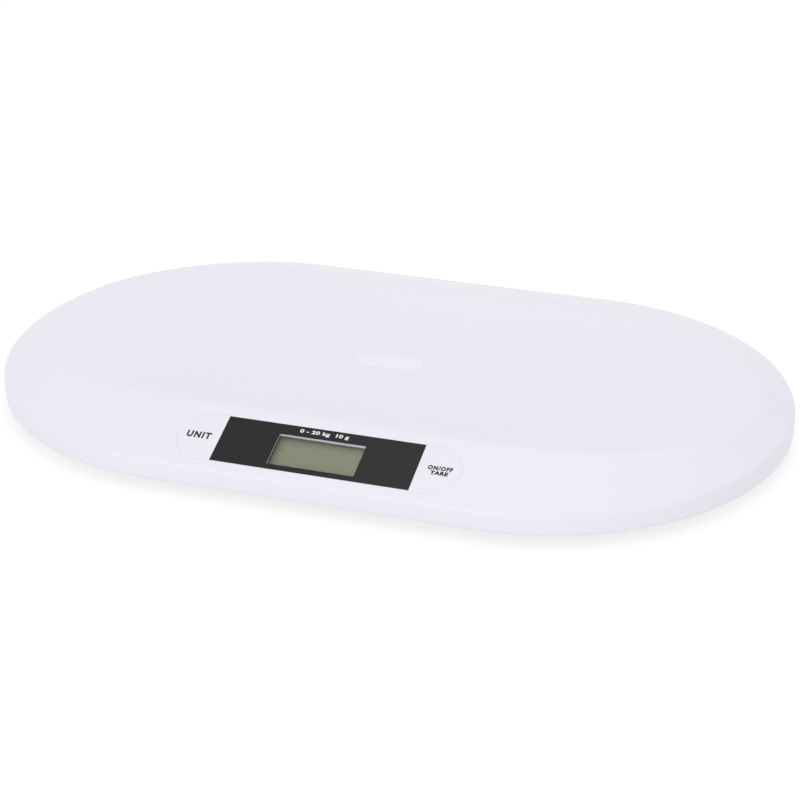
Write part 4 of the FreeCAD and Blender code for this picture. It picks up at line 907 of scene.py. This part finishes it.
def words_on_shelf(name, lines, body, ink, weight):
    """Each line is its text, its width and height in mm, the x and u of its middle, and how far apart its
    letters stand, where 1 is the font's own spacing. Its points, as shares of its box, are scaled to that."""
    form = Form()
    for text, width, height, x, u, spacing in lines:
        curve = bpy.data.curves.new(name + "_line", "FONT")
        curve.body, curve.size, curve.space_character = text, 1.0, spacing
        curve.extrude, curve.bevel_depth = THIN, weight
        curve.bevel_resolution, curve.resolution_u = 0, CURVE_STEPS
        holder = bpy.data.objects.new(name + "_line", curve)
        scene.collection.objects.link(holder)
        bpy.context.view_layer.update()
        drawn = bpy.data.meshes.new_from_object(holder.evaluated_get(bpy.context.evaluated_depsgraph_get()))
        points = np.zeros(len(drawn.vertices) * 3)
        drawn.vertices.foreach_get("co", points)
        points = points.reshape(-1, 3)
        low_corner, high_corner = points.min(0), points.max(0)
        shares = (points - (low_corner + high_corner) / 2) / (high_corner - low_corner)
        first = form.total
        form.add(on_shelf(x + shares[:, 0] * width, u + shares[:, 1] * height,
                          INK_LOW + shares[:, 2] * INK_DEEP))
        form.faces += [[first + corner for corner in face.vertices] for face in drawn.polygons]
        bpy.data.objects.remove(holder)
        bpy.data.curves.remove(curve)
        bpy.data.meshes.remove(drawn)
    put(name, form, body, ink, crease=20.0)


words_on_shelf("unit_legend", [("UNIT", 16.6, 5.6, -80.8, 0.1, 1.27)], "unit_button", key_ink,
               weight=0.056)
words_on_shelf("power_legend", [("ON/OFF", 16.2, 3.6, 80.9, 1.8, 1.25), ("TARE", 11.8, 3.3, 81.2, -2.2, 1.1)],
               "power_button", key_ink, weight=0.066)
words_on_shelf("range_legend", [("0 - 20 kg  10 g", 33.2, 4.0, -0.4, 15.4, 1.06)], "scale_body", white_ink,
               weight=0.042)

# %% [markdown]
# A pill-shaped badge lies on the flat middle of the bowl. It is blank, with a slightly domed face, and a
# shade cooler and smoother than the tray. A colour change in the tray would have no edge to catch the
# light, so it is a plate of its own: a few pill-shaped rings that shrink towards the top.

# %% Badge
BADGE_STRAIGHT, BADGE_STEPS, LEAST_SHARE, FACE_RADIUS = 13.5, 28, 0.6, 20.0
BADGE = [(9.9, 30.45), (10.0, 30.5), (10.0, 30.68), (9.93, 30.76), (9.75, 30.8), (8.0, 30.84), (5.0, 30.88),
         (1.0, 30.9)]
badge_plastic = finish("badge_plastic", srgb(239, 240, 250), 0.22, depth=0.0006, cloud=25.0, shift=0.012)
half_turn = np.linspace(-np.pi / 2, np.pi / 2, BADGE_STEPS)


def pill(radius, height):
    """Two half circles of a radius, joined by straight runs. Their length is LEAST_SHARE of the whole one
    at the middle of the face, and grows with the radius until it is whole."""
    reach = BADGE_STRAIGHT * min(1.0, LEAST_SHARE + radius / FACE_RADIUS)
    x, y = reach + radius * np.cos(half_turn), radius * np.sin(half_turn)
    return ring(np.stack([np.append(x, -x), np.append(y, -y)], -1), height)


badge = Form()
badge.skin([pill(radius, height) for radius, height in BADGE])
put("badge_plate", badge, "scale_body", badge_plastic, ("badge",), crease=50.0)

# %% [markdown]
# Each foot is a hard cup that hangs from its load cell by a spigot, and a soft pad pressed into it. On
# the real scale both are round parts from a mould, so each is a turned solid with rounded edges. The
# grooves of the pad, which grip the table, are in its profile and not in a bump, because they show at
# its edge.

# %% Feet
FOOT_X, FOOT_Y = 175.0, 98.0
cup_plastic = finish("cup_plastic", srgb(226, 226, 231), 0.45, cloud=15.0)
pad_rubber = finish("pad_rubber", srgb(62, 62, 65), 0.75, grain=0.5, depth=0.02, cloud=6.0, shift=0.12,
                    sheen=0.15)
CUP = [(13.3, 3.3), (13.3, 2.7), (13.5, 2.5), (14.4, 2.5), (14.8, 2.7), (15.0, 3.1), (15.0, 5.7),
       (14.8, 6.2), (14.3, 6.5), (6.9, 6.5), (6.25, 6.75), (6.0, 7.4), (6.0, 10.7), (5.8, 10.95), (1.9, 11.0),
       (1.9, 13.6), (3.0, 13.6), (3.2, 13.75), (3.2, 14.1), (3.0, 14.28)]
PAD = [(4.0, 0.0), (4.3, 0.35), (5.2, 0.35), (5.5, 0.0), (8.0, 0.0), (8.3, 0.35), (9.2, 0.35), (9.5, 0.0),
       (12.2, 0.0), (12.7, 0.15), (12.95, 0.5), (13.0, 0.9), (13.0, 3.1), (12.8, 3.28)]
CORNERS = {"front_left": (-1, -1), "rear_left": (-1, 1), "front_right": (1, -1), "rear_right": (1, 1)}
for corner_name, (a, b) in CORNERS.items():
    cup, pad = Form(), Form()
    turned(cup, CUP, a * FOOT_X, b * FOOT_Y)
    turned(pad, PAD, a * FOOT_X, b * FOOT_Y)
    put("cup_" + corner_name, cup, "foot_" + corner_name, cup_plastic,
        ("foot_cup_" + corner_name,), crease=35.0)
    put("pad_" + corner_name, pad, "foot_" + corner_name, pad_rubber,
        ("foot_pad_" + corner_name,), crease=35.0)

# %% [markdown]
# A display that is off looks like frosted grey-green film. Its far and left edges lie in the soft shade
# of the window. More lamps or a deeper window could give that shade, but both would change the light on
# the tray. So the colour itself is made a little darker towards those two edges, smoothly.

# %% Display glass
lcd = finish("lcd_glass", srgb(137, 142, 120), 0.42, grain=0.3, depth=0.0, cloud=22.0, shift=0.02, gloss=0.3)
LEFT_SHADE, FAR_SHADE = (-28.9, -22.0, 0.72), (FAR_Y, FAR_Y - 6.0, 0.78)
shade(lcd, "X", *LEFT_SHADE)
shade(lcd, "Y", *FAR_SHADE)
print("display glass shaded from", round(FAR_Y, 1), "mm")

# %% [markdown]
# The parts inside and below keep their engineering shape, because it is right as it is. They could stay
# in one plain grey, but the door opens on some of them, so each gets the finish of its own making:
# moulded, sprung, printed or ground. A finish goes into the part's material slots.

# %% Finishes of the parts kept from the model
cover_plastic = finish("cover_plastic", srgb(228, 228, 234), 0.55, grain=0.35, depth=0.012)
steel = finish("spring_steel", srgb(200, 200, 198), 0.3, metal=1.0, grain=0.3, cloud=4.0, shift=0.06)
cell_steel = finish("cell_steel", srgb(190, 190, 193), 0.38, metal=1.0, grain=0.25, depth=0.006, cloud=9.0,
                    shift=0.08)
board_green = finish("board_laminate", srgb(26, 92, 52), 0.35, grain=0.8, depth=0.015, cloud=5.0, shift=0.25)
black_part = finish("component_black", srgb(45, 45, 47), 0.5, grain=0.2, depth=0.005, cloud=3.0, shift=0.1)
nylon = finish("socket_plastic", srgb(231, 227, 212), 0.5, grain=0.3, cloud=5.0)
frame_plastic = finish("frame_plastic", srgb(222, 222, 226), 0.5, grain=0.3, depth=0.006, cloud=20.0)
strip_rubber = finish("strip_rubber", srgb(222, 200, 203), 0.7, grain=0.25, depth=0.01, cloud=2.0, shift=0.15)
insulation = finish("lead_insulation", srgb(175, 40, 40), 0.45, grain=0.5, depth=0.006, cloud=12.0, shift=0.1)
FINISHES = {
    "display_glass": lcd, "display_frame": frame_plastic, "contact_strips": strip_rubber,
    "main_board": board_green, "tact_switches": black_part, "unit_switch_plunger": black_part,
    "power_switch_plunger": black_part, "controller_chip": black_part, "lead_sockets": nylon,
    "bottom_cover": cover_plastic, "battery_door": cover_plastic,
    "plate_contacts": steel, "spring_contacts": steel, "load_cell_leads": insulation,
    "battery_leads": insulation, "board_screws": steel, "cover_screws": steel, "clamp_screws": steel,
}
for corner_name in CORNERS:
    FINISHES["load_cell_" + corner_name] = cell_steel
    FINISHES["load_cell_clamp_" + corner_name] = frame_plastic
for node_name, node_finish in FINISHES.items():
    for material_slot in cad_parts[node_name].material_slots:
        material_slot.material = node_finish
print("finished", len(FINISHES), "model parts")

# %% [markdown]
# Three round cells lie in the bay, every other one turned round. Each is a steel can in a tight printed
# sleeve, dark with a pale band at the positive end and otherwise blank. One material could hold steel
# and print side by side, but three turned solids keep each finish plain and each edge clean. The can
# shows at both ends.

# %% Batteries
CELL_LONG, CELL_REACH, BAY_Y, PITCH = 44.5, 25.0, -40.0, 11.0
CAN = [(3.6, 0.2), (3.9, 0.0), (4.7, 0.0), (5.05, 0.2), (5.15, 0.6), (5.15, 43.1), (4.95, 43.5), (4.4, 43.7),
       (2.1, 43.7), (1.9, 43.8), (1.9, 44.3), (1.7, 44.5)]
SLEEVE = [(5.16, 0.8), (5.2, 0.7), (5.25, 0.8), (5.25, 34.0), (5.16, 34.0)]
BAND = [(5.16, 34.0), (5.25, 34.0), (5.25, 43.0), (5.2, 43.15), (5.16, 43.1)]
sleeve_dark = finish("sleeve_dark", srgb(58, 70, 88), 0.3, metal=0.3, grain=0.3, depth=0.002, cloud=8.0,
                     shift=0.06)
sleeve_pale = finish("sleeve_pale", srgb(205, 207, 210), 0.3, metal=0.3, grain=0.3, depth=0.002, cloud=8.0)
cell_z = sum(corner[2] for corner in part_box("batteries")) / 2 / MM


def lying(way, middle_y):
    """Lays a turned solid along x if way is 1. If it is -1, the solid is turned end for end."""
    def laid(across, up, along):
        return np.stack([way * (CELL_REACH - CELL_LONG + along), middle_y + across, cell_z + way * up], -1)
    return laid


for name, profile, cell_finish, loop in (("battery_cans", CAN, steel, False),
                                         ("battery_sleeves", SLEEVE, sleeve_dark, True),
                                         ("battery_bands", BAND, sleeve_pale, True)):
    cells = Form()
    for row, way in ((-1, 1), (0, -1), (1, 1)):
        turned(cells, profile, placed=lying(way, BAY_Y + row * PITCH), loop=loop)
    put(name, cells, "scale_body", cell_finish, ("batteries",), crease=35.0)
